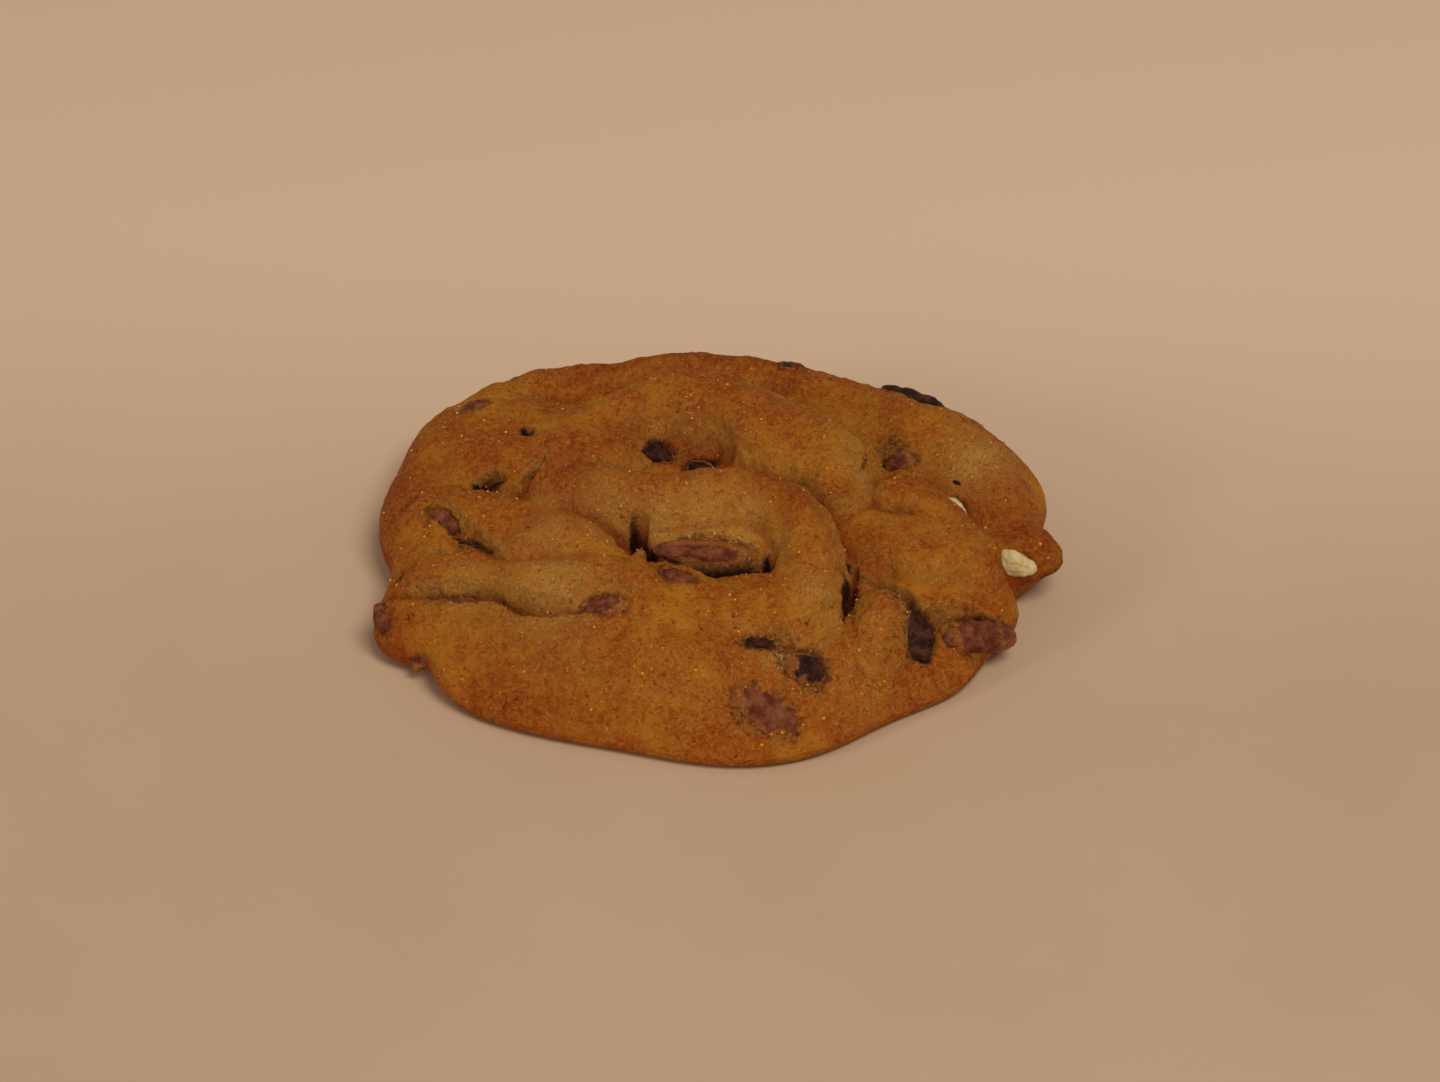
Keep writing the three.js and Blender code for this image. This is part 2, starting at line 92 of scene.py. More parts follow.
# Folds of dough: drop, blend, and places along the path (x, y, height, half width).
FOLDS = {
    "back rim": (5, 2, [
        (-33.5, 22.5, 12.3, 5), (-27.5, 27.5, 13.2, 5), (-21.5, 31, 13.8, 5), (-13.5, 33.5, 14.2, 4.5),
        (-2.5, 34.5, 14.4, 4.5), (8.5, 32.5, 13.8, 4.8), (18, 29, 12.6, 5.5), (24.5, 26.5, 12.6, 6)]),
    "shoulder": (5, 3, [
        (-38.5, 9.5, 9.6, 4), (-35.5, 14.5, 12, 8), (-28, 16, 14, 11), (-18, 12.5, 16.2, 9),
        (-13, 10, 16.8, 5)]),
    "arc": (8.5, 1, [
        (-17.5, 14.5, 16.8, 5), (-10.5, 18.5, 18.2, 5.4), (-4, 20, 18.7, 5.6), (3, 18, 18.7, 6.2),
        (9.5, 13.5, 18.5, 7.6), (14, 9, 18.1, 7), (15.6, 3.6, 17, 5.6), (16.2, -0.5, 15.9, 3.6)]),
    "plateau": (4, 3, [(-6, -19, 12.2, 4.6), (2, -18.8, 13.1, 5.2), (8.5, -18.8, 13.6, 6)]),
    "block": (5.5, 0.8, [
        (-38.5, 0.6, 10.6, 2.8), (-34.5, 1, 12.2, 4), (-29.5, -0.2, 13.5, 5), (-25, -2.4, 14.1, 5.4),
        (-20, -5.6, 14, 5)]),
    "bridge": (4, 1.5, [(-23, -6.5, 13.6, 4.6), (-17.5, -7, 14.2, 4.4), (-13.4, -9.4, 13.4, 3.2)]),
    "left wall": (5, 1.4, [(-41, 3.4, 8.6, 2.4), (-40, -1.4, 9.4, 3), (-38.4, -5.6, 9.2, 2.4)]),
    "left rope": (6.5, 0.7, [
        (-38.5, -10.6, 9.8, 2.8), (-34, -11.6, 11.4, 3.6), (-27.4, -13.2, 12.8, 4.4),
        (-21, -14.8, 13.6, 5.4), (-14.8, -13.2, 13.9, 4.8), (-10.2, -14.8, 13.6, 4),
        (-6, -18.2, 12.8, 3.2)]),
    "lobe": (6.5, 1, [
        (22.5, 24.4, 13, 5), (28.6, 19.6, 13.9, 6.2), (34.4, 12.8, 14.1, 6.4), (38.2, 6.6, 12.8, 4.8),
        (39.8, 2.4, 11.2, 3.2)]),
    "tongue": (3.5, 1.2, [(23, 4, 13.2, 3.2), (26.5, 3.2, 13.2, 4), (30, 1, 12.2, 3.2)]),
    "right mass": (7, 0.9, [
        (18.8, -4.6, 13.4, 5.6), (24.3, -6, 13.8, 7), (30.6, -7.6, 13.1, 7.2), (34.6, -9.6, 11.4, 5.8)]),
    "lump": (7, 0.5, [(21.4, -18.4, 12.8, 4.2), (20.8, -22, 11.2, 4.4), (20, -24.6, 9, 3.6)]),
    "ring": (9, 1, [
        (-20.8, -0.4, 16.6, 4), (-17.4, 1.2, 18, 4.8), (-12.4, -0.2, 18, 5.2), (-6.8, -1.4, 18.4, 5.2),
        (-1.7, -1.8, 18.9, 5), (4, -2, 18.9, 5), (9.4, -4.2, 18.5, 5.2), (12, -9.6, 17.5, 5.5),
        (12.2, -15.5, 16, 5.5), (11.8, -20.4, 14.4, 5.2), (10.8, -23.8, 12.4, 4.4)]),
    "inner wall": (7, 1.5, [
        (-5.2, -7, 13.2, 3.2), (-1.5, -7.2, 13.8, 4.6), (2.6, -7.4, 13.8, 4.6), (5.6, -8, 13.6, 3.6)]),
    "nub": (3.4, 1.2, [(39.4, 1.4, 10.2, 3), (41.4, -1, 10, 3), (42.4, -2.6, 9.6, 2.8)]),
}
# How steeply a fold falls away beside its foot, and how many half widths away it still counts.
FOLD_FALL = 8
FOLD_NEAR = 3.0

# Hollows and creases: wall, blend, and places along the path (x, y, floor height, half width).
HOLLOWS = {
    "centre": (6, 0.5, [
        (-8.2, -9.8, 8, 1.2), (-4.4, -11.6, 8.4, 1.1), (0, -12.4, 8.4, 1.2), (4, -12.6, 8.2, 1.3),
        (7, -12.2, 7.6, 1.5)]),
    "centre pit": (9, 0.4, [(-9.4, -6.1, 6.5, 1.3), (-8.2, -7.9, 7, 1.2)]),
    "upper": (6, 0.7, [
        (-8.6, 11.4, 12, 2.4), (-5.4, 11.6, 11.2, 3.8), (-1, 11, 10, 3.6), (1.2, 10.4, 10.4, 2.4)]),
    "back valley": (3, 1, [
        (-21, 24.5, 12.4, 1), (-16.5, 24, 12.2, 1.4), (-10, 26.6, 11.8, 1.8), (-2, 27.6, 11.4, 2),
        (6, 25.6, 11.4, 2), (13.5, 20.6, 11.4, 2), (18.5, 16.5, 11.6, 1.6)]),
    "right valley": (4, 0.9, [
        (20.6, 19.6, 11.8, 1.6), (22.8, 14.6, 10.4, 2.8), (23.2, 10, 10.4, 2.4), (21.8, 5.6, 11, 1.3)]),
    "left slit": (5, 0.6, [(-31.2, 6.6, 10.4, 0.6), (-29.4, 6.8, 7.6, 0.9), (-27.6, 6.4, 9, 0.7)]),
    "bulge crease": (5, 0.6, [(-21.6, 8.4, 13.2, 0.6), (-24, 5.4, 11.4, 0.9), (-25, 1.6, 11.4, 0.8)]),
    "block crease": (5, 0.6, [
        (-40, 2.8, 7.6, 0.6), (-37.6, 4.9, 8.6, 0.7), (-33, 5.6, 10, 0.8), (-28, 5, 10.6, 0.8),
        (-25.2, 4, 11, 0.8)]),
    "left groove": (5, 0.6, [
        (-36.4, 0.8, 10.2, 1.4), (-34.4, -0.8, 9.6, 2.2), (-32, -3.4, 9.4, 1.4), (-28.8, -6, 9.6, 0.8)]),
    "left cut": (5, 0.6, [
        (-40.6, -9.4, 5.8, 0.8), (-37.6, -7.2, 6.8, 0.9), (-34.6, -6, 8, 0.8), (-31, -6.4, 9.2, 0.7)]),
    "rope foot": (5, 0.6, [
        (-40.6, -12.6, 5.6, 0.7), (-36, -14.2, 6.6, 0.9), (-28.2, -15.8, 7.6, 1), (-23, -18.6, 7.8, 1.1),
        (-18.5, -19.2, 8.4, 1), (-15, -19.2, 9.2, 0.8)]),
    "right gap": (6, 0.6, [
        (18.4, -10.6, 9.6, 0.6), (18, -14.4, 8.4, 0.8), (17.2, -18, 7.8, 0.9), (16, -21.2, 9, 0.6)]),
    "right crease": (5, 0.5, [
        (17.8, -12.6, 9.4, 0.8), (20.8, -13.4, 8.4, 0.9), (23.6, -14.6, 7.8, 1), (26, -17.2, 6.8, 1.4),
        (30.5, -17.4, 6.4, 1.3), (33.5, -16.6, 6, 0.9)]),
    "lump side": (5, 0.5, [(26, -17.4, 7.4, 1), (25.8, -21, 6.4, 1.2), (25.2, -23.6, 5.6, 0.8)]),
    "lobe crease": (3, 1.2, [
        (25, 9.4, 11.6, 0.9), (29.2, 6, 10.4, 1.4), (32.2, 3, 9.8, 1.6), (35.4, -0.4, 9.6, 1.2)]),
    "rim crease": (4, 0.7, [(24.5, 29, 10.8, 0.7), (31, 25.4, 10.4, 0.7), (37, 19, 10, 0.6)]),
    "shoulder pit": (4, 0.5, [(-24.4, 13.6, 11, 1)]),
}
HOLLOW_NEAR = 2.5

# Broad unevenness of the dough: waves of shrinking length and height, at full height this far in.
SWELL_WAVES = 7
SWELL_LENGTH, SWELL_HEIGHT = 21.0, 0.26
SWELL_SHORTER, SWELL_LOWER = 0.8, 0.84
SWELL_TURN, SWELL_START, SWELL_PHASE = 2.399, 0.4, 1.7
SWELL_FULL = 6

# Pieces of chocolate: kind, plan place, half sizes (along, across, deep), heading, lift.
PIECES = {
    "front_chip": ("milk", (6.1, -34), (4.4, 2.8, 1.8), -34, -1.35),
    "swirl_chip": ("dark", (11.4, -28), (3.4, 2.8, 2), -40, -1.2),
    "swirl_tail_chip": ("dark", (6.2, -25.7), (2.7, 0.9, 1.2), -4, -0.7),
    "step_chip": ("milk", (-13.6, -18.8), (2.9, 1.6, 1.5), 4, -0.6),
    "rope_chip": ("milk", (-31.6, -15.2), (4.6, 1, 1.6), -6, -0.4),
    "block_chip": ("milk", (-34.7, -0.2), (2.9, 2, 1.6), -36, -0.8),
    "groove_chip": ("dark", (-30.8, -4.6), (2.8, 1, 1.2), -36, -0.6),
    "upper_chip": ("dark", (-7.2, 12.9), (2.3, 1.6, 1.4), 0, -0.2),
    "upper_right_chip": ("dark", (-1.7, 11.8), (2.2, 1.8, 1.4), 0, -0.5),
    "centre_chip": ("milk", (0, -10.2), (7, 1.8, 1.3), -5, -0.6),
    "lip_chip": ("milk", (-4.8, -15), (3.4, 1.5, 1.2), -35, -0.5),
    "valley_chip": ("milk", (24.6, 11.9), (2.8, 1.9, 1.4), -10, -0.2),
    "gap_chip": ("dark", (17, -18.4), (0.9, 2.2, 1.2), -12, 0.3),
    "corner_chip": ("milk", (33.9, -18.4), (4.7, 2.3, 2), 10, -0.9),
    "lump_chip": ("dark", (25.2, -20.2), (2.5, 3.5, 2.4), 6, 0.1),
    "shoulder_chip": ("milk", (-32.2, 21.6), (2.3, 1.3, 1), 12, -0.5),
    "pit_chip": ("dark", (-24.4, 13.8), (0.8, 1.1, 0.8), 0, -0.2),
    "rim_chip": ("dark", (27.2, 26.6), (5.4, 1.5, 1.4), -30, -0.5),
    "edge_chip": ("milk", (-42, -14.8), (1.1, 2.8, 1.5), 18, -0.8),
    "foot_chip": ("milk", (-36.8, -20.2), (1.4, 1, 0.9), 28, -0.4),
    "back_chip": ("dark", (10.4, 31.8), (1.4, 0.9, 0.8), 0, -0.4),
    "nub_chip": ("white", (39, -5.8), (2.9, 1.5, 1.3), -28, 0),
    "lobe_chip": ("white", (31.9, 3.3), (2.2, 1, 1), -56, 0.2),
}
# Pieces lean with the dough up to this slope, which is read over this span.
STEEPEST_LEAN = 1.2
SLOPE_SPAN = 0.6
# Their lumps: (waves a unit, phase a piece) along each axis, then the rough face's height and length.
PIECE_WAVES = ((3.1, 1.3), (2.7, 2.1), (3.7, 1))
PIECE_UNEVEN = 0.07
PIECE_ROUGH, PIECE_ROUGH_LENGTH = 0.55, 2.0
NOISE_APART = 7.0

# Where the crust is redder and browner, paler and torn, or rubbed with chocolate:
# (x, y, radius, strength).
BROWNED = {
    "ring bulge": (-18.5, 1.5, 6.5, 1),
    "ring shoulder": (10.5, -4.5, 4.5, 0.9),
    "lobe band": (34.2, 2.8, 4, 1),
    "lobe band left": (29.4, 7, 2.8, 0.7),
    "nub": (41.4, -2.2, 5, 1),
    "back rim": (-2, 35, 8, 0.9),
    "back rim right": (12, 33, 8, 0.9),
    "back rim left": (-16, 33, 8, 0.8),
    "front left": (-22, -26, 9, 0.6),
    "left end": (-41, 8, 5, 0.7),
    "left foot": (-40, -16, 5, 0.5),
    "shoulder": (-30, 12, 8, 0.4),
    "arc top": (2, 20, 6, 0.4),
}
PALE = {
    "rope face": (-20, -17.5, 5.5, 1),
    "rope start": (-31, -14.5, 3.5, 0.6),
    "inner wall": (-1, -7, 3.4, 1),
    "inner wall right": (4, -7.4, 2.8, 1),
    "inner wall left": (-6, -6.4, 2.8, 1),
    "arc step": (19.2, 10, 3, 0.6),
    "arc step low": (18.8, 4, 2.5, 0.7),
    "lump face": (20, -22.5, 3.5, 0.2),
    "front right": (20, -27.8, 5.5, 0.2),
    "swirl": (8.5, -27.5, 2.5, 0.7),
    "lobe top": (34.8, 9.4, 4.8, 1),
    "ring foot": (13.5, -21, 3, 0.6),
    "valley": (-20, -8, 5, 0.5),
    "ring face": (-14, -5, 4.5, 0.6),
}
SMEARED = {
    "centre left": (-4.6, -10.6, 1.5, 1),
    "centre": (-1.6, -11, 1.5, 1),
    "centre right": (1.8, -11.2, 1.5, 1),
    "centre corner": (5, -10.8, 1.7, 1),
    "lip": (-5.2, -13.6, 2.2, 0.7),
    "swirl": (8.6, -25.6, 2.4, 0.6),
    "right gap": (17.2, -16, 2, 0.9),
    "lump side": (24, -18, 2.6, 0.8),
    "corner": (33, -17.6, 3.8, 0.7),
    "corner left": (29, -18.8, 2, 0.9),
    "rope": (-35, -14.8, 2.6, 0.6),
    "groove": (-33.5, -3, 2.2, 0.6),
    "valley": (23.8, 14.2, 3.2, 1),
    "upper": (-4, 12.2, 3, 0.6),
    "rim": (28, 27.5, 3.4, 0.6),
    "slit": (-29, 7, 1.6, 0.9),
    "pit": (-24.4, 13.8, 1.3, 0.9),
}
# Painted shade, nearly black, where pits and creases are darkest; and where dough clings over the
# chocolate:
# (half width, strength, places that the line runs through).
SHADED = {
    "centre pit": (1, 1, [(-9.7, -5.8), (-9, -6.3)]),
    "lip": (0.65, 1, [(-8.6, -7.6), (-6.6, -10.8), (-4.4, -11.7), (-1, -12), (2.6, -12.1), (6.4, -11.9)]),
    "cavity corner": (0.75, 0.9, [(6.9, -11.2), (6.7, -11.9)]),
    "left slit": (0.6, 0.85, [(-31, 6), (-29.3, 5.9), (-27.4, 5.9)]),
    "shoulder pit": (0.9, 0.8, [(-24.9, 14), (-24.6, 13.8)]),
    "upper": (0.9, 0.6, [(-3.4, 11), (-1, 12.2), (0.6, 12.2)]),
    "right gap": (0.45, 0.7, [(17.6, -10.9), (17.2, -13)]),
    "right gap low": (0.45, 0.75, [(17, -15.4), (16.2, -18.8)]),
    "right crease": (0.5, 0.7, [(18.6, -13.2), (21, -14), (23.6, -15.2), (24.6, -17)]),
    "lump side": (0.9, 0.8, [(26.2, -17.2), (27.2, -19.8), (26.6, -23)]),
    "valley": (0.4, 0.6, [(19.4, 4.8), (19.8, 7.4), (20.4, 11)]),
    "left groove": (0.6, 0.6, [(-33, -3.4), (-30, -5.6), (-28, -6.6)]),
    "rope foot": (0.5, 0.5, [(-37.1, -13.9), (-34, -14.6), (-30, -15.9)]),
    "swirl": (0.5, 0.5, [(13.2, -26.4), (14, -28.6), (13.4, -30.6)]),
    "lobe": (0.5, 0.9, [(31.8, 6.8), (32.2, 6.6)]),
    "corner": (0.6, 0.5, [(31.4, -17.2), (33, -16.9), (35.6, -16.4)]),
}
FILMED = {
    "centre": (0.7, 0.75, [(-5.4, -9.1), (0, -9.5), (5.6, -9.9)]),
    "centre right": (1, 0.9, [(4, -10.6), (6.6, -11)]),
    "swirl middle": (1, 0.9, [(9.2, -27), (10, -28.2)]),
    "swirl low": (0.8, 0.9, [(10.4, -30.4), (11.2, -30.2)]),
    "front": (1, 0.7, [(3.2, -31.6), (4.4, -36.4)]),
    "corner": (1, 0.6, [(29.8, -18.4), (31, -20.6)]),
    "corner right": (1, 0.5, [(36, -17), (37.4, -19.4)]),
    "lump": (0.9, 0.8, [(24.4, -17.8), (23.8, -20.4)]),
    "valley": (1, 0.7, [(25.6, 12.4), (26.4, 10.6)]),
    "block": (0.9, 0.8, [(-36.8, 1.2), (-35.2, 1.6)]),
}

# How strongly each kind of chocolate stains the dough around it.
STAIN = {"milk": 0.72, "dark": 1.0, "white": 0.0}

# Thin crust lines that follow the rim: headings from and to, how far in, half width, strength.
RIM_LINES = ((20, 44, 2.4, 0.25, 0.6), (24, 48, 4.2, 0.25, 0.5), (28, 42, 6.4, 0.25, 0.4))
LINE_FADE = 4
LINE_DEPTH = 0.25
LINE_WAVER, LINE_WAVER_LENGTH = 1.1, 7.0

# Crags: lengths and heights of the broad and the fine ones, and how rough torn dough is.
BROAD_LENGTH, BROAD_HEIGHT = 5.5, 0.5
FINE_LENGTH, FINE_CALM, FINE_TORN = 1.5, 0.16, 0.28
TORN_LEAST, TORN_BY_STEEP, TORN_BY_HOLLOW = 0.3, 1.3, 0.5
STEEP_START, STEEP_RATE = 1.25, 1.35
TORN_INSIDE = (3.0, 6.0)
CALM_RIM = 2.5
HOLLOW_BLUR = 1.6
# Painted shade in creases: how fast it grows with a place's sink below its blurred surroundings, and where
# it starts.
DEEP_RATE, DEEP_START = 0.6, 0.2
PROUD_FROM, PROUD_TO = 0.1, 1.1

# Dough around a piece: gap, heights and lengths in millimetres, places in shares of the piece's reach.
PIECE_GAP = 0.25
RAG, RAG_LENGTH = 0.3, 1.7
HEAP_HEIGHT, HEAP_AT, HEAP_SPREAD = 0.14, 1.15, 0.22
DRAWN_BACK, DRAWN_FROM, DRAWN_TO = 0.4, 0.7, 1.0
STAIN_FROM, STAIN_TO = 0.95, 1.55
LITTER_HEIGHT, LITTER_LENGTH, LITTER_FULL = 0.4, 1.4, 0.5
# Dough clings to a piece's face up to this height over the crust.
FILM_REACH = 0.5

# One seed for each noise.
SEEDS = {"broad": 11, "fine": 37, "piece": 51, "rag": 61, "line": 71, "litter": 83}

# Mesh fineness: the height table's step and margin, and the counts along curves, rim and grid.
TABLE_STEP = 0.2
TABLE_MARGIN = 1
PATH_STEPS = 8
POINT_REACH = 0.1
RIM_COUNT = 2881
TOP_COUNT = 288
UNDER_SHARES = (0.995, 0.985, 0.97, 0.955, 0.94, 0.92, 0.9, 0.85, 0.7, 0.5, 0.3, 0.12)
EVEN_ROUNDS = 150
EVEN_PULL = 0.3
PIECE_FINENESS, CRUMB_FINENESS = 5, 1
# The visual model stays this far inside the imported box.
BOX_MARGIN = 0.02

# Crumbs: radii, how uneven they are, and where they lie. UP is a normal's upward share.
CRUMB_SEED = 5
CRUMB_COUNT = 1100
CRUMB_SMALL, CRUMB_LARGE = 0.07, 0.26
CRUMB_STRETCH, CRUMB_UNEVEN = (0.6, 1.2), (0.75, 1.15)
CRUMB_PROUD = 0.15
FLAT_UP, STEEP_UP = 0.95, 0.15
CHANCE_ON_FLAT = 0.35
CRUMB_LOWEST = 2.5

# Camera, lights and room, in metres and watts.
LENS, CAMERA_TILT, CAMERA_AWAY = 85.0, 36.0, 0.440
AIM = (0.0002, -0.0015, 0.008)
KEY_AT, KEY_SIZE, KEY_POWER, KEY_COLOUR = (-0.9, -0.5, 0.42), 0.25, 2.2, (1.0, 0.86, 0.7)
WINDOW_AT, WINDOW_SIZE, WINDOW_POWER, WINDOW_COLOUR = (0.38, -0.5, 1.0), 0.6, 7.4, (1.0, 0.9, 0.79)
ROOM_COLOUR, ROOM_LIGHT = (1.0, 0.87, 0.75), 0.25
BOARD_REACH = 1.6

# Display colours, 0 to 255, as they look in full light.
CRUST_TAN = (221, 140, 27)
CRUST_BROWN = (194, 94, 14)
CRUST_RED = (160, 58, 2)
CRUMB = (240, 176, 79)
GRAIN = (218, 156, 60)
SPECK = (250, 216, 140)
MOTTLE = (222, 150, 52)
PORE = (84, 34, 8)
# Painted shade: the near-black colour of the darkest pits and creases.
PIT_SHADE = (34, 15, 7)
SMEAR = (98, 46, 26)
FILM = (150, 88, 42)
# Painted shade, multiplied into creases and hollows.
CREASE_SHADE = (204, 92, 46)
MILK, MILK_LIGHT = (98, 42, 23), (146, 86, 58)
DARK, DARK_LIGHT = (38, 17, 11), (92, 50, 36)
WHITE, WHITE_LIGHT = (222, 196, 136), (244, 226, 178)
# The board's far colour is painted light: the board grows lighter towards the back.
BOARD, BOARD_WARM, BOARD_LIT_FAR = (203, 176, 148), (199, 171, 142), (234, 206, 178)


def smooth_step(low, high, v):
    t = np.clip((v - low) / (high - low), 0, 1)
    return t * t * (3 - 2 * t)


def smooth_max(a, b, blend):
    share = np.clip(0.5 + 0.5 * (a - b) / blend, 0, 1)
    return b * (1 - share) + a * share + blend * share * (1 - share)


def smooth_min(a, b, blend):
    return -smooth_max(-a, -b, blend)


def turn_gap(heading, at):
    return (heading - at + 180) % 360 - 180


def bell(gap, spread):
    return np.exp(-((gap / spread) ** 2))


def outline(theta):
    radius = 1 / np.hypot(np.cos(theta) / HALF_WIDTH, np.sin(theta) / HALF_DEPTH)
    for at, spread, out in BULGES.values():
        radius = radius + out * bell(turn_gap(np.degrees(theta), at), spread)
    return radius


def curve(path):
    """A smooth curve through a path's places, as short straight spans."""
    p = np.array(path, float)
    if len(p) == 1:
        return [p[0], p[0] + (POINT_REACH, 0, 0, 0)]
    p = np.vstack([2 * p[0] - p[1], p, 2 * p[-1] - p[-2]])
    rows = []
    for a, b, c, d in zip(p, p[1:], p[2:], p[3:]):
        for t in np.arange(PATH_STEPS) / PATH_STEPS:
            square = (2 * a - 5 * b + 4 * c - d) * t * t
            cube = (3 * b - a - 3 * c + d) * t ** 3
            rows.append(0.5 * (2 * b + (c - a) * t + square + cube))
    rows.append(p[-2])
    return rows


def nearest(x, y, rows):
    """The nearest place of a curve: its distance as a share of the half width, and its height."""
    best = np.full(x.shape, np.inf)
    height = np.zeros(x.shape)
    for a, b in zip(rows, rows[1:]):
        ab = b[:2] - a[:2]
        t = np.clip(((x - a[0]) * ab[0] + (y - a[1]) * ab[1]) / (ab @ ab), 0, 1)
        share = np.hypot(x - a[0] - t * ab[0], y - a[1] - t * ab[1]) / (a[3] + (b[3] - a[3]) * t)
        near = share < best
        best = np.where(near, share, best)
        height = np.where(near, a[2] + (b[2] - a[2]) * t, height)
    return best, height


def swell(x, y):
    total = 0.0
    for i in range(SWELL_WAVES):
        turn = SWELL_TURN * i + SWELL_START
        along = x * math.cos(turn) + y * math.sin(turn)
        length = SWELL_LENGTH * SWELL_SHORTER ** i
        wave = np.sin(2 * math.pi * along / length + SWELL_PHASE * i)
        total = total + SWELL_HEIGHT * SWELL_LOWER ** i * wave
    return total


def edge_at(x, y):
    """What the top and the underside share at a plan place.

    Its heading, how far in from the rim it lies, how much it belongs to the front and to the nub,
    and the height of the rim's edge there.
    """
    theta = np.arctan2(y, x)
    heading = np.degrees(theta)
    inside = (1 - np.minimum(np.hypot(x, y) / outline(theta), 1)) * DEPTH_IN
    front = smooth_step(*FRONT_FADES_IN, heading) * (1 - smooth_step(*FRONT_FADES_OUT, heading))
    edge = EDGE_SIDE + (EDGE_FRONT - EDGE_SIDE) * front
    nub = bell(turn_gap(heading, NUB_AT), NUB_SPREAD)
    foot = bell(turn_gap(heading, FOOT_AT), FOOT_SPREAD)
    edge = edge + EDGE_NUB * nub + EDGE_FOOT * foot
    return heading, inside, front, nub, edge


def round_up(share):
    return np.sqrt(1 - (1 - np.clip(share, 0, 1)) ** 2)


def near_path(x, y, path, reach):
    """Which places lie close enough to a path for it to matter."""
    p = np.array(path, float)
    far = reach * p[:, 3].max()
    low, high = p[:, :2].min(0) - far, p[:, :2].max(0) + far
    return (x > low[0]) & (x < high[0]) & (y > low[1]) & (y < high[1])


def top_at(x, y):
    heading, inside, front, nub, edge = edge_at(x, y)
    slope = SLOPE_TOP * (1 - np.exp(-(inside + SLOPE_OUTSIDE) / SLOPE_REACH))
    side = SIDE_LOW + SIDE_RISE * (1 - np.exp(-inside / SIDE_REACH))
    for at, spread, drop in (FOOT_SAG, CORNER_SAG):
        side = side - drop * bell(heading - at, spread)
    z = side + (slope - side) * front
    for drop, blend, path in FOLDS.values():
        near = near_path(x, y, path, FOLD_NEAR)
        share, height = nearest(x[near], y[near], curve(path))
        foot = height - drop
        back = foot + drop * np.sqrt(np.clip(1 - share * share, 0, 1))
        fold = np.where(share < 1, back, foot - FOLD_FALL * (share - 1))
        z[near] = smooth_max(z[near], fold, blend)
    for wall, blend, path in HOLLOWS.values():
        near = near_path(x, y, path, HOLLOW_NEAR)
        share, height = nearest(x[near], y[near], curve(path))
        z[near] = smooth_min(z[near], height + wall * share ** 3, blend)
    z = z + swell(x, y) * smooth_step(0, SWELL_FULL, inside)
    wide = ROUND_SIDE + (ROUND_FRONT - ROUND_SIDE) * front + ROUND_NUB * nub
    return edge + (z - edge) * round_up(inside / wide)


def under_at(x, y):
    _, inside, front, nub, edge = edge_at(x, y)
    wide = CURL_SIDE + (CURL_FRONT - CURL_SIDE) * front + CURL_NUB * nub
    return edge * (1 - round_up(inside / wide) ** (1 + NUB_UNDERCUT * nub))


def top_slope(x, y):
    e = SLOPE_SPAN
    xs = np.array([x + e, x - e, x, x])
    ys = np.array([y, y, y + e, y - e])
    z = top_at(xs, ys)
    return (z[0] - z[1]) / (2 * e), (z[2] - z[3]) / (2 * e)


# The plan is moved so that the dough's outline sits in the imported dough's box.
headings = np.linspace(-math.pi, math.pi, RIM_COUNT)
rim = outline(headings)[:, None] * np.stack([np.cos(headings), np.sin(headings)], 1)
low_corner, high_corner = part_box("dough")
dough_low, dough_high = np.array(low_corner) / MM, np.array(high_corner) / MM
shift = np.zeros(3)
shift[:2] = (dough_low[:2] + dough_high[:2]) / 2 - (rim.min(0) + rim.max(0)) / 2


def place(points):
    return (np.asarray(points, float) + shift) * MM


def lattice_noise(p, seed):
    """Smooth noise between -1 and 1, one cell a unit, from each corner's scrambled place."""
    cell = np.floor(p).astype(np.int64)
    f = p - cell
    f = f * f * f * (f * (f * 6 - 15) + 10)
    total = 0.0
    for corner in range(8):
        step = np.array([corner & 1, corner >> 1 & 1, corner >> 2 & 1])
        c = cell + step
        h = (c[:, 0] * 73856093) ^ (c[:, 1] * 19349663) ^ (c[:, 2] * 83492791) ^ (seed * 2654435761)
        h = (h ^ (h >> 13)) * 1274126177
        h = (h ^ (h >> 16)) & 0xFFFFFF
        weight = np.prod(np.where(step, f, 1 - f), 1)
        total = total + weight * (h / 0x7FFFFF - 1)
    return total


def rough_noise(p, length, octaves, seed, keep=0.55):
    total, size, whole = 0.0, 1.0, 0.0
    for i in range(octaves):
        total = total + size * lattice_noise(p / length, seed + i)
        whole += size
        length, size = length * 0.5, size * keep
    return total / whole


def read_table(table, x, y, low):
    """Straight-line reading of a table of the plan."""
    u = np.clip((x - low[0]) / TABLE_STEP, 0, table.shape[1] - 1.001)
    v = np.clip((y - low[1]) / TABLE_STEP, 0, table.shape[0] - 1.001)
    i, j = u.astype(int), v.astype(int)
    fu, fv = u - i, v - j
    upper = table[j, i] * (1 - fu) + table[j, i + 1] * fu
    lower = table[j + 1, i] * (1 - fu) + table[j + 1, i + 1] * fu
    return upper * (1 - fv) + lower * fv


def blurred(table, radius):
    """The table averaged over a window of this radius, three times."""
    n = max(1, int(round(radius / TABLE_STEP)))
    for _ in range(3):
        for axis in (0, 1):
            pad = np.pad(table, [(n + 1, n) if a == axis else (0, 0) for a in (0, 1)], mode="edge")
            run = np.cumsum(pad, axis)
            high = np.take(run, range(2 * n + 1, run.shape[axis]), axis)
            low = np.take(run, range(0, run.shape[axis] - 2 * n - 1), axis)
            table = (high - low) / (2 * n + 1)
    return table


def disc_grid(count):
    """A square grid laid out on the unit disc: shares of the radius, and headings."""
    u = np.linspace(-1, 1, count)
    a, b = np.meshgrid(u, u)
    wide = np.abs(a) > np.abs(b)
    with np.errstate(divide="ignore", invalid="ignore"):
        phi = np.where(wide, math.pi / 4 * b / a, math.pi / 2 - math.pi / 4 * a / b)
    phi = np.where((a == 0) & (b == 0), 0, phi)
    r = np.where(wide, a, b)
    return np.abs(r), np.where(r < 0, phi + math.pi, phi)


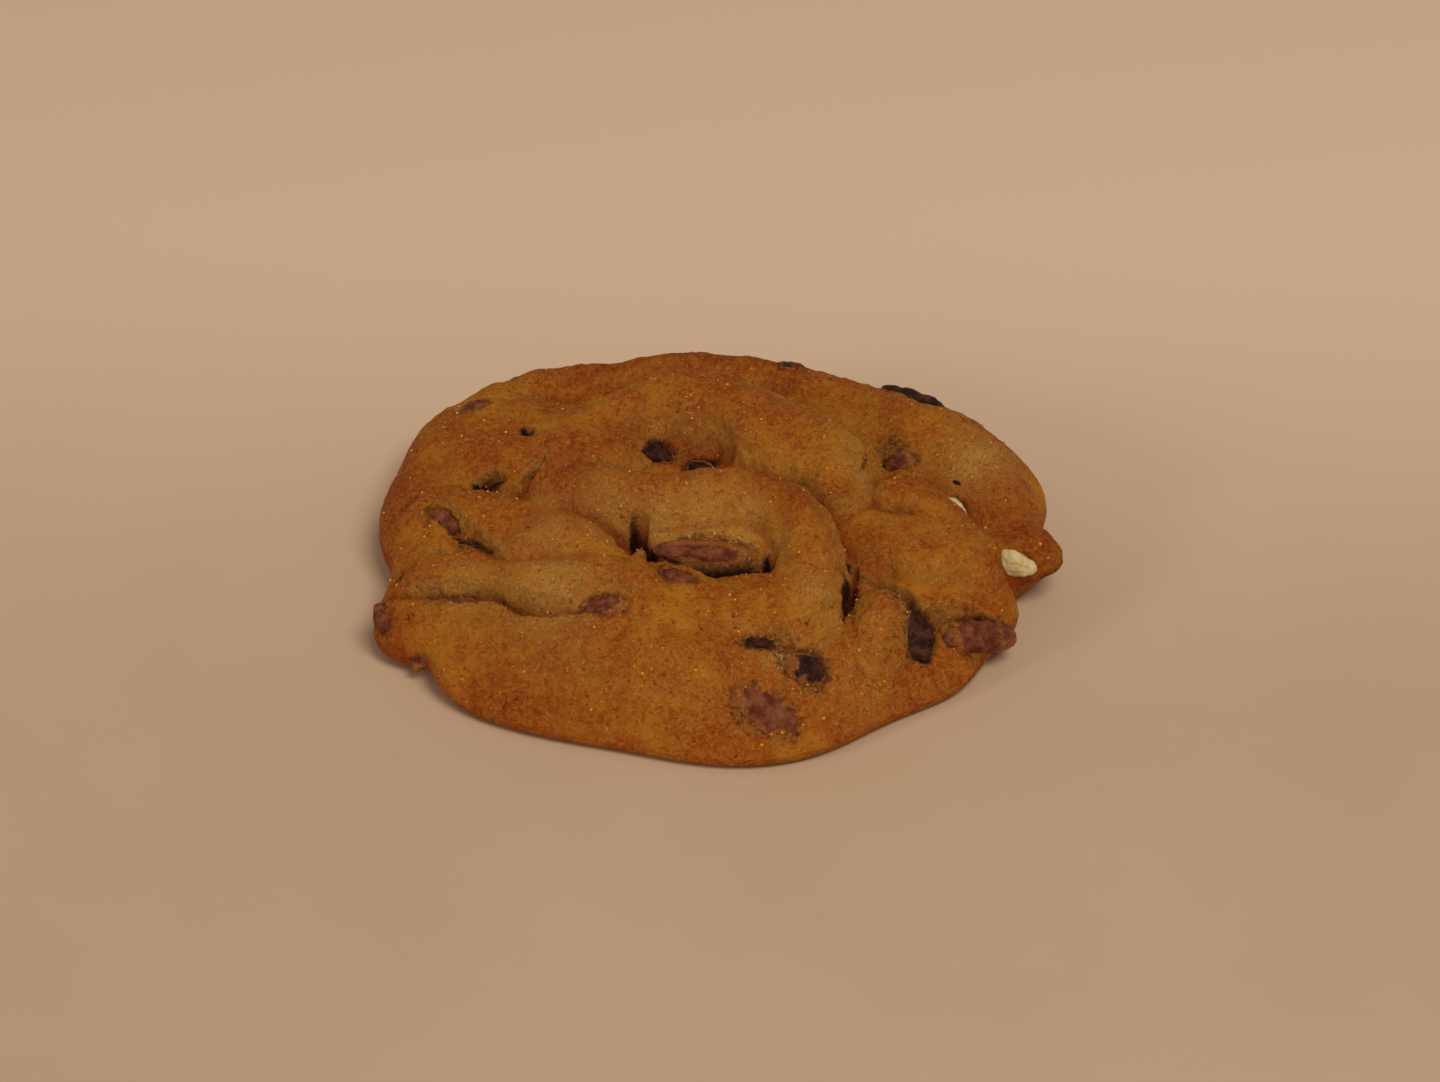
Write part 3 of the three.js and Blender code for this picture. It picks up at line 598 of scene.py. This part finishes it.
def plan_grid(count):
    share, theta = disc_grid(count)
    r = share * outline(theta)
    return r * np.cos(theta), r * np.sin(theta)


def evened(x, y, height, rounds):
    """The grid's places moved until the surface's cells are about as long on walls as on tops."""
    for _ in range(rounds):
        z = height(x, y)
        total = np.zeros((x.shape[0] - 2, x.shape[1] - 2))
        sum_x, sum_y = total.copy(), total.copy()
        inner = (slice(1, -1), slice(1, -1))
        for dj, di in ((-1, 0), (1, 0), (0, -1), (0, 1)):
            there = (slice(1 + dj, x.shape[0] - 1 + dj), slice(1 + di, x.shape[1] - 1 + di))
            dx, dy, dz = x[there] - x[inner], y[there] - y[inner], z[there] - z[inner]
            gap = np.sqrt(dx ** 2 + dy ** 2 + dz ** 2)
            total += gap
            sum_x += gap * x[there]
            sum_y += gap * y[there]
        x[inner] += EVEN_PULL * (sum_x / total - x[inner])
        y[inner] += EVEN_PULL * (sum_y / total - y[inner])
    return x, y


def grid_faces(index):
    return np.stack([index[:-1, :-1], index[:-1, 1:], index[1:, 1:], index[1:, :-1]], -1).reshape(-1, 4)


def vertex_normals(points, faces):
    a, b, c, d = (points[faces[:, k]] for k in range(4))
    n = np.cross(c - a, d - b)
    out = np.zeros_like(points)
    for k in range(4):
        for axis in range(3):
            out[:, axis] += np.bincount(faces[:, k], n[:, axis], len(points))
    return out / np.maximum(np.linalg.norm(out, axis=1), 1e-12)[:, None]


def spots(p, places):
    """The strongest of some soft round patches at each plan place."""
    total = np.zeros(len(p))
    for x, y, radius, strength in places.values():
        total = np.maximum(total, strength * bell(np.hypot(p[:, 0] - x, p[:, 1] - y), radius))
    return total


def strokes(p, lines):
    """The strongest of some soft lines, each a half width, a strength and the places it runs through."""
    total = np.zeros(len(p))
    for wide, strength, path in lines.values():
        rows = [np.array([x, y, 0.0, wide]) for x, y in path]
        total = np.maximum(total, strength * bell(nearest(p[:, 0], p[:, 1], rows)[0], 1.0))
    return total


def piece_frame(spec):
    """A piece's middle and axes: along its heading, across it, and out of the dough."""
    _, (x, y), half, turn, lift = spec
    slope_x, slope_y = top_slope(x, y)
    gentle = min(1.0, STEEPEST_LEAN / max(math.hypot(slope_x, slope_y), 1e-6))
    out = np.array([-slope_x * gentle, -slope_y * gentle, 1.0])
    out /= np.linalg.norm(out)
    heading = math.radians(turn)
    along = np.array([math.cos(heading), math.sin(heading), 0.0])
    along -= out * (along @ out)
    along /= np.linalg.norm(along)
    middle = np.array([x, y, float(top_at(np.array([x]), np.array([y]))[0])]) + lift * out
    return middle, np.array([along, np.cross(out, along), out]), np.array(half, float)


FRAMES = {name: piece_frame(spec) for name, spec in PIECES.items()}


def new_object(name, points, faces, material, node):
    mesh = bpy.data.meshes.new(name)
    mesh.vertices.add(len(points))
    mesh.vertices.foreach_set("co", np.asarray(points, np.float32).ravel())
    size = faces.shape[1]
    mesh.loops.add(faces.size)
    mesh.loops.foreach_set("vertex_index", faces.ravel().astype(np.int32))
    mesh.polygons.add(len(faces))
    mesh.polygons.foreach_set("loop_start", np.arange(0, faces.size, size, dtype=np.int32))
    mesh.polygons.foreach_set("use_smooth", np.ones(len(faces), bool))
    mesh.update(calc_edges=True)
    mesh.validate()
    mesh.materials.append(material)
    piece = bpy.data.objects.new(name, mesh)
    bpy.context.scene.collection.objects.link(piece)
    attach(piece, "root")
    if node:
        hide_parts(node)
    return piece


def paint(mesh, name, columns):
    """Three shares from 0 to 1 at each vertex, for the material to read."""
    layer = mesh.color_attributes.new(name, "FLOAT_COLOR", "POINT")
    rows = np.ones((len(mesh.vertices), 4), np.float32)
    for k, column in enumerate(columns):
        rows[:, k] = np.clip(column, 0, 1)
    layer.data.foreach_set("color", rows.ravel())


def srgb(r, g, b):
    """A display colour, 0 to 255, as the linear colour that shaders take."""
    c = np.array([r, g, b]) / 255
    return tuple(np.where(c <= 0.04045, c / 12.92, ((c + 0.055) / 1.055) ** 2.4)) + (1.0,)


class Nodes:
    """Short calls for building a material's node tree."""

    def __init__(self, name):
        self.material = bpy.data.materials.new(name)
        self.material.use_nodes = True
        self.tree = self.material.node_tree
        self.bsdf = self.tree.nodes["Principled BSDF"]
        self.where = self.tree.nodes.new("ShaderNodeTexCoord").outputs["Object"]

    def new(self, kind, **settings):
        node = self.tree.nodes.new(kind)
        for key, value in settings.items():
            setattr(node, key, value)
        return node

    def link(self, source, target):
        self.tree.links.new(source, target)

    def noise(self, length_mm, detail=4.0, rough=0.55, warp=0.0):
        node = self.new("ShaderNodeTexNoise")
        node.inputs["Scale"].default_value = 1 / (length_mm * MM)
        node.inputs["Detail"].default_value = detail
        node.inputs["Roughness"].default_value = rough
        node.inputs["Distortion"].default_value = warp
        self.link(self.where, node.inputs["Vector"])
        return node.outputs["Fac"]

    def along(self, axis):
        """How far along X, Y or Z a point lies."""
        node = self.new("ShaderNodeSeparateXYZ")
        self.link(self.where, node.inputs[0])
        return node.outputs[axis]

    def ramp(self, value, low, high, out_low=0.0, out_high=1.0):
        node = self.new("ShaderNodeMapRange", interpolation_type="SMOOTHSTEP")
        node.inputs["From Min"].default_value = low
        node.inputs["From Max"].default_value = high
        node.inputs["To Min"].default_value = out_low
        node.inputs["To Max"].default_value = out_high
        self.link(value, node.inputs["Value"])
        return node.outputs["Result"]

    def math(self, operation, a, b):
        node = self.new("ShaderNodeMath", operation=operation)
        for socket, value in zip(node.inputs, (a, b)):
            if isinstance(value, (int, float)):
                socket.default_value = value
            else:
                self.link(value, socket)
        return node.outputs[0]

    def mix(self, share, a, b, blend="MIX"):
        node = self.new("ShaderNodeMix", data_type="RGBA", blend_type=blend)
        for socket, value in ((node.inputs[0], share), (node.inputs[6], a), (node.inputs[7], b)):
            if isinstance(value, (int, float, tuple)):
                socket.default_value = value
            else:
                self.link(value, socket)
        return node.outputs[2]

    def bump(self, height, distance_mm, strength=1.0, before=None):
        node = self.new("ShaderNodeBump")
        node.inputs["Strength"].default_value = strength
        node.inputs["Distance"].default_value = distance_mm * MM
        self.link(height, node.inputs["Height"])
        if before is not None:
            self.link(before, node.inputs["Normal"])
        return node.outputs["Normal"]

    def shares(self, name):
        node = self.new("ShaderNodeVertexColor", layer_name=name)
        split = self.new("ShaderNodeSeparateColor")
        self.link(node.outputs["Color"], split.inputs[0])
        return split.outputs


def dough_material():
    m = Nodes("dough")
    browned, pale, smeared = m.shares("crust")[:3]
    deep, proud, torn = m.shares("depth")[:3]
    shaded, lined = m.shares("shade_and_lines")[:2]

    # Baked crust: tan where thin, browner on tops, redder in the browned patches.
    patch = m.ramp(m.noise(11.0, 5.0, 0.65), 0.42, 0.58)
    colour = m.mix(patch, srgb(*CRUST_TAN), srgb(*CRUST_BROWN))
    small = m.ramp(m.noise(3.0, 5.0, 0.7), 0.44, 0.6)
    colour = m.mix(m.math("MULTIPLY", small, 0.45), colour, srgb(*CRUST_RED))
    uneven = m.ramp(m.noise(1.8, 5.0, 0.7), 0.38, 0.6, 0.5, 1.0)
    colour = m.mix(m.math("MULTIPLY", m.math("MULTIPLY", proud, uneven), 0.6), colour, srgb(*CRUST_RED))
    colour = m.mix(m.math("MULTIPLY", browned, uneven), colour, srgb(*CRUST_RED))
    colour = m.mix(m.math("MULTIPLY", pale, uneven), colour, srgb(*CRUMB))
    colour = m.mix(m.math("MULTIPLY", torn, 0.45), colour, srgb(*CRUMB))

    # Chocolate rubbed into the dough, in blotches.
    blotch = m.ramp(m.math("ADD", smeared, m.noise(0.9, 4.0, 0.6)), 0.8, 1.3)
    colour = m.mix(m.math("MULTIPLY", blotch, 0.85), colour, srgb(*SMEAR))

    # Grains: pale crumbs and specks of sugar, a few dark pores and short cracks.
    grain = m.ramp(m.noise(0.5, 4.0, 0.75), 0.48, 0.64)
    colour = m.mix(m.math("MULTIPLY", grain, 0.5), colour, srgb(*GRAIN))
    speck = m.ramp(m.noise(0.7, 3.0, 0.6), 0.64, 0.7)
    colour = m.mix(m.math("MULTIPLY", speck, 0.4), colour, srgb(*SPECK))
    mottle = m.ramp(m.noise(1.0, 3.0, 0.65, 0.8), 0.4, 0.6)
    colour = m.mix(m.math("MULTIPLY", mottle, 0.42), colour, srgb(*MOTTLE))
    dull = m.ramp(m.noise(0.6, 3.0, 0.7, 0.5), 0.3, 0.46, 1.0, 0.0)
    colour = m.mix(m.math("MULTIPLY", dull, 0.85), colour, srgb(*CRUST_RED))
    pore = m.ramp(m.noise(1.1, 3.0, 0.6, 1.2), 0.27, 0.33, 1.0, 0.0)
    colour = m.mix(m.math("MULTIPLY", pore, 0.85), colour, srgb(*PORE))
    sugar = m.ramp(m.noise(0.5, 3.0, 0.75), 0.53, 0.6)
    sugar = m.math("MULTIPLY", sugar, m.math("MAXIMUM", pale, m.math("MULTIPLY", torn, 0.6)))
    colour = m.mix(m.math("MULTIPLY", sugar, 0.7), colour, srgb(*SPECK))
    colour = m.mix(m.math("MULTIPLY", m.math("MULTIPLY", browned, uneven), 0.45), colour, srgb(*CRUST_RED))
    # Painted shade: creases and hollows darken by how far they sink below their surroundings.
    colour = m.mix(m.math("MULTIPLY", deep, 0.7), colour, srgb(*CREASE_SHADE), "MULTIPLY")
    frayed = m.noise(1.0, 4.0, 0.7)
    crack = m.ramp(m.math("ADD", lined, m.math("MULTIPLY", frayed, 0.6)), 0.6, 0.85)
    colour = m.mix(m.math("MULTIPLY", crack, 0.6), colour, srgb(*PORE))
    # Painted shade: the darkest pits and creases turn nearly black along the shaded lines, with frayed
    # edges.
    pit = m.ramp(m.math("ADD", shaded, m.math("MULTIPLY", frayed, 0.6)), 0.55, 1.0)
    colour = m.mix(m.math("MULTIPLY", pit, 0.96), colour, srgb(*PIT_SHADE))
    m.link(colour, m.bsdf.inputs["Base Color"])

    m.link(m.ramp(grain, 0, 1, 0.62, 0.42), m.bsdf.inputs["Roughness"])
    m.bsdf.inputs["Specular IOR Level"].default_value = 0.16
    m.bsdf.inputs["Subsurface Weight"].default_value = 0.15
    m.bsdf.inputs["Subsurface Radius"].default_value = (1.2, 0.5, 0.2)
    m.bsdf.inputs["Subsurface Scale"].default_value = 0.8 * MM

    crumbly = m.bump(m.noise(2.0, 7.0, 0.75), 1.5, 1.0)
    grainy = m.bump(m.noise(0.45, 4.0, 0.75), 0.4, 1.0, crumbly)
    sugary = m.bump(sugar, 0.25, 1.0, grainy)
    pitted = m.bump(m.math("MULTIPLY", pore, -1.0), 0.3, 1.0, sugary)
    m.link(pitted, m.bsdf.inputs["Normal"])
    return m.material


def chocolate_material(name, base, light, rough):
    m = Nodes(name)
    film = m.shares("film")[0]
    bloom = m.ramp(m.noise(1.6, 5.0, 0.65), 0.38, 0.68)
    colour = m.mix(bloom, srgb(*base), srgb(*light))
    crumb = m.ramp(m.noise(0.5, 4.0, 0.7), 0.6, 0.7)
    colour = m.mix(m.math("MULTIPLY", crumb, 0.3), colour, srgb(*GRAIN))
    ragged = m.ramp(m.math("ADD", film, m.noise(0.9, 4.0, 0.75)), 0.82, 1.12)
    colour = m.mix(m.math("MULTIPLY", ragged, 0.8), colour, srgb(*FILM))
    dusted = m.math("MULTIPLY", ragged, m.ramp(m.noise(0.32, 4.0, 0.8), 0.5, 0.66))
    colour = m.mix(m.math("MULTIPLY", dusted, 0.4), colour, srgb(*CRUMB))
    m.link(colour, m.bsdf.inputs["Base Color"])
    m.link(m.ramp(bloom, 0, 1, rough, rough + 0.15), m.bsdf.inputs["Roughness"])
    m.bsdf.inputs["Specular IOR Level"].default_value = 0.16
    wavy = m.bump(m.noise(1.6, 6.0, 0.7), 0.7, 1.0)
    m.link(m.bump(m.noise(0.3, 3.0, 0.6), 0.06, 0.8, wavy), m.bsdf.inputs["Normal"])
    return m.material


def floor_material():
    m = Nodes("board")
    colour = m.mix(m.ramp(m.noise(60.0, 4.0), 0.3, 0.7), srgb(*BOARD), srgb(*BOARD_WARM))
    # Painted light: the board grows lighter towards the back, as if more light falls there.
    colour = m.mix(m.ramp(m.along("Y"), -0.04, 0.1), colour, srgb(*BOARD_LIT_FAR))
    m.link(colour, m.bsdf.inputs["Base Color"])
    m.bsdf.inputs["Roughness"].default_value = 0.7
    m.link(m.bump(m.noise(0.8, 3.0), 0.02, 0.4), m.bsdf.inputs["Normal"])
    return m.material


def dough_surface():
    """The dough's points, faces, and the shares its material reads."""
    low = rim.min(0) - TABLE_MARGIN
    high = rim.max(0) + TABLE_MARGIN
    xs = np.arange(low[0], high[0], TABLE_STEP)
    ys = np.arange(low[1], high[1], TABLE_STEP)
    gx, gy = np.meshgrid(xs, ys)
    table = top_at(gx.ravel(), gy.ravel()).reshape(gx.shape)
    x, y = plan_grid(TOP_COUNT)
    x, y = evened(x, y, lambda a, b: read_table(table, a, b, low), EVEN_ROUNDS)
    z = top_at(x.ravel(), y.ravel())
    top = np.stack([x.ravel(), y.ravel(), z], 1)
    index = np.arange(TOP_COUNT ** 2).reshape(TOP_COUNT, TOP_COUNT)
    hollow = read_table(blurred(table, HOLLOW_BLUR), x, y, low).ravel() - z
    return top, grid_faces(index), index, hollow


def crags(points, hollow, steep):
    """Craggy crust: heights along the normals, calmer on tops than in torn walls."""
    torn = np.clip(TORN_LEAST + TORN_BY_STEEP * steep + TORN_BY_HOLLOW * np.clip(hollow, 0, 1), 0, 1)
    broad = rough_noise(points, BROAD_LENGTH, 3, SEEDS["broad"]) * BROAD_HEIGHT
    fine = rough_noise(points, FINE_LENGTH, 3, SEEDS["fine"])
    return broad + (FINE_CALM + FINE_TORN * torn) * fine


def rim_lines(points, inside):
    """Shares of the thin wavering lines in the crust that follow the rim."""
    heading = np.degrees(np.arctan2(points[:, 1], points[:, 0]))
    waver = inside + LINE_WAVER * rough_noise(points, LINE_WAVER_LENGTH, 3, SEEDS["line"])
    total = np.zeros(len(points))
    for start, end, far, wide, strength in RIM_LINES:
        begun = smooth_step(start - LINE_FADE, start + LINE_FADE, heading)
        ended = smooth_step(end - LINE_FADE, end + LINE_FADE, heading)
        window = begun * (1 - ended)
        total = np.maximum(total, strength * window * bell(waver - far, wide))
    return total


def underside(edge_ring, rim_points, start):
    """Rings of points from the rim in to the middle of the flat baked face, and their triangles."""
    points, faces = [], []
    upper, count = edge_ring, len(edge_ring)
    for share in UNDER_SHARES:
        xy = rim_points[:, :2] * share
        points.append(np.column_stack([xy, under_at(xy[:, 0], xy[:, 1])]))
        lower = np.arange(start, start + count)
        faces.append(np.stack([upper, np.roll(upper, -1), lower], 1))
        faces.append(np.stack([np.roll(upper, -1), np.roll(lower, -1), lower], 1))
        upper = lower
        start += count
    points.append(np.zeros((1, 3)))
    faces.append(np.stack([upper, np.roll(upper, -1), np.full(count, start)], 1))
    return np.concatenate(points), np.concatenate(faces)


def build_dough(material):
    top, faces, index, hollow = dough_surface()
    normals = vertex_normals(top, faces)
    steep = np.clip(STEEP_START - normals[:, 2] * STEEP_RATE, 0, 1)
    inside = edge_at(top[:, 0], top[:, 1])[1]
    height = crags(top, hollow, steep)

    # Dough draws back where a piece of chocolate stands, and heaps raggedly at its border.
    rag = RAG * rough_noise(top, RAG_LENGTH, 3, SEEDS["rag"])
    stained = np.zeros(len(top))
    for name, (middle, axes, half) in FRAMES.items():
        reach = np.linalg.norm((top - middle) @ axes.T / (half + PIECE_GAP), axis=1) + rag
        covered = 1 - smooth_step(DRAWN_FROM, DRAWN_TO, reach)
        height += HEAP_HEIGHT * bell(reach - HEAP_AT, HEAP_SPREAD) - DRAWN_BACK * covered
        stain = STAIN[PIECES[name][0]] * (1 - smooth_step(STAIN_FROM, STAIN_TO, reach))
        stained = np.maximum(stained, stain)
    litter = LITTER_HEIGHT * rough_noise(top, LITTER_LENGTH, 3, SEEDS["litter"])
    height += litter * smooth_step(0.0, LITTER_FULL, stained)
    lines = rim_lines(top, inside)
    height -= LINE_DEPTH * lines
    points = top + normals * (height * smooth_step(0, CALM_RIM, inside))[:, None]
    points = np.clip(points, dough_low - shift + BOX_MARGIN, dough_high - shift - BOX_MARGIN)

    edge_ring = np.concatenate([index[0, :-1], index[:-1, -1], index[-1, :0:-1], index[:0:-1, 0]])
    low_points, low_faces = underside(edge_ring, top[edge_ring], len(top))
    upper_faces = np.concatenate([faces[:, [0, 1, 2]], faces[:, [0, 2, 3]]])
    points = np.concatenate([points, low_points])
    piece = new_object("baked_dough", place(points), np.concatenate([upper_faces, low_faces[:, ::-1]]),
                       material, "dough")
    rest = len(low_points)
    plan = np.concatenate([top, low_points])
    torn = steep * smooth_step(*TORN_INSIDE, inside)
    pale = np.concatenate([spots(top, PALE), np.zeros(rest)])
    smeared = np.maximum(spots(plan, SMEARED), np.concatenate([stained, np.zeros(rest)]))
    paint(piece.data, "crust", [spots(plan, BROWNED), pale, smeared])
    # Painted shade: how far a crease or hollow sinks, for the material to darken it.
    deep = np.clip(hollow * DEEP_RATE - DEEP_START, 0, 1)
    depths = (deep, smooth_step(PROUD_FROM, PROUD_TO, -hollow), torn)
    paint(piece.data, "depth", [np.concatenate([column, np.zeros(rest)]) for column in depths])
    lined = np.concatenate([lines, np.zeros(rest)])
    # Painted shade in the darkest pits and creases, and the crust lines along the rim.
    paint(piece.data, "shade_and_lines", [strokes(plan, SHADED), lined, lined])
    return piece


def ball(detail):
    mesh = bmesh.new()
    bmesh.ops.create_icosphere(mesh, subdivisions=detail, radius=1)
    points = np.array([v.co for v in mesh.verts])
    faces = np.array([[v.index for v in f.verts] for f in mesh.faces])
    mesh.free()
    return points, faces


def build_piece(name, order, material):
    """A piece of chocolate: an uneven lump with soft corners and a rubbed face."""
    points, faces = ball(PIECE_FINENESS)
    middle, axes, half = FRAMES[name]
    wave = 0.0
    for axis, (rate, phase) in enumerate(PIECE_WAVES):
        wave = wave + np.sin(rate * points[:, axis] + phase * order)
    stretched = points * half * (1 + PIECE_UNEVEN * wave)[:, None]
    rough = rough_noise(stretched + NOISE_APART * order, PIECE_ROUGH_LENGTH, 4, SEEDS["piece"])
    stretched += points * (PIECE_ROUGH * rough)[:, None]
    world = stretched @ axes + middle
    low, high = (np.array(c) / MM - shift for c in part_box(name))
    world = np.clip(world, np.minimum(low, high), np.maximum(low, high))
    piece = new_object(name + "_melted", place(world), faces, material, name)
    stands = world[:, 2] - top_at(world[:, 0], world[:, 1])
    film = np.maximum(1 - smooth_step(-FILM_REACH, FILM_REACH, stands), strokes(world, FILMED))
    paint(piece.data, "film", [film, film, film])
    return piece


def build_crumbs(dough, material):
    """Loose crumbs and coarse sugar stuck to the crust, more of them in the torn walls."""
    rng = np.random.default_rng(CRUMB_SEED)
    count = len(dough.data.vertices)
    co = np.empty(count * 3, np.float32)
    normal = np.empty(count * 3, np.float32)
    dough.data.vertices.foreach_get("co", co)
    dough.data.vertices.foreach_get("normal", normal)
    co, normal = co.reshape(-1, 3) / MM, normal.reshape(-1, 3)
    up = normal[:, 2]
    chance = np.where(up > FLAT_UP, CHANCE_ON_FLAT, 1.0) * (up > STEEP_UP) * (co[:, 2] > CRUMB_LOWEST)
    chosen = rng.choice(count, CRUMB_COUNT, replace=False, p=chance / chance.sum())
    ball_points, ball_faces = ball(CRUMB_FINENESS)
    points, faces = [], []
    for k, i in enumerate(chosen):
        size = CRUMB_SMALL + (CRUMB_LARGE - CRUMB_SMALL) * rng.random() ** 3
        stretch = rng.uniform(*CRUMB_STRETCH, 3)
        uneven = rng.uniform(*CRUMB_UNEVEN, (len(ball_points), 1))
        shape = ball_points * size * stretch * uneven
        points.append(shape + co[i] + normal[i] * size * CRUMB_PROUD)
        faces.append(ball_faces + k * len(ball_points))
    points = np.clip(np.concatenate(points), dough_low + BOX_MARGIN, dough_high - BOX_MARGIN)
    return new_object("crumbs", points * MM, np.concatenate(faces), material, None)


def crumb_material():
    m = Nodes("crumbs")
    colour = m.mix(m.ramp(m.noise(1.5, 2.0), 0.4, 0.7), srgb(*CRUST_TAN), srgb(*CRUMB))
    m.link(colour, m.bsdf.inputs["Base Color"])
    m.bsdf.inputs["Roughness"].default_value = 0.55
    m.link(m.bump(m.noise(0.2, 2.0), 0.05, 0.8), m.bsdf.inputs["Normal"])
    return m.material


def build_stage():
    mesh = bpy.data.meshes.new("board")
    r = BOARD_REACH
    mesh.from_pydata([(-r, -r, 0), (r, -r, 0), (r, r, 0), (-r, r, 0)], [], [(0, 1, 2, 3)])
    mesh.materials.append(floor_material())
    board = bpy.data.objects.new("board", mesh)
    bpy.context.scene.collection.objects.link(board)


def build_camera():
    camera = bpy.data.cameras.new("camera")
    camera.lens, camera.sensor_width, camera.clip_start = LENS, 36.0, 0.01
    tilt = math.radians(CAMERA_TILT)
    view = Vector((0, math.cos(tilt), -math.sin(tilt)))
    thing = bpy.data.objects.new("camera", camera)
    turned = Matrix.Rotation(math.pi / 2 - tilt, 4, "X")
    thing.matrix_world = Matrix.Translation(Vector(AIM) - view * CAMERA_AWAY) @ turned
    bpy.context.scene.collection.objects.link(thing)
    bpy.context.scene.camera = thing


def build_light(name, at, size, power, colour):
    light = bpy.data.lights.new(name, "AREA")
    light.shape = "DISK"
    light.size, light.energy, light.color = size, power, colour
    thing = bpy.data.objects.new(name, light)
    thing.location = at
    thing.rotation_euler = (-Vector(at)).to_track_quat("-Z", "Y").to_euler()
    bpy.context.scene.collection.objects.link(thing)


def build_world():
    world = bpy.data.worlds.new("room")
    world.use_nodes = True
    background = world.node_tree.nodes["Background"]
    background.inputs[0].default_value = (*ROOM_COLOUR, 1)
    background.inputs[1].default_value = ROOM_LIGHT
    bpy.context.scene.world = world
    bpy.context.scene.view_settings.view_transform = "Standard"


build_camera()
dough = build_dough(dough_material())
materials = {
    "milk": chocolate_material("milk_chocolate", MILK, MILK_LIGHT, 0.45),
    "dark": chocolate_material("dark_chocolate", DARK, DARK_LIGHT, 0.38),
    "white": chocolate_material("white_chocolate", WHITE, WHITE_LIGHT, 0.5),
}
for order, name in enumerate(PIECES):
    build_piece(name, order, materials[PIECES[name][0]])
build_crumbs(dough, crumb_material())
build_stage()
build_light("key", KEY_AT, KEY_SIZE, KEY_POWER, KEY_COLOUR)
build_light("window", WINDOW_AT, WINDOW_SIZE, WINDOW_POWER, WINDOW_COLOUR)
build_world()
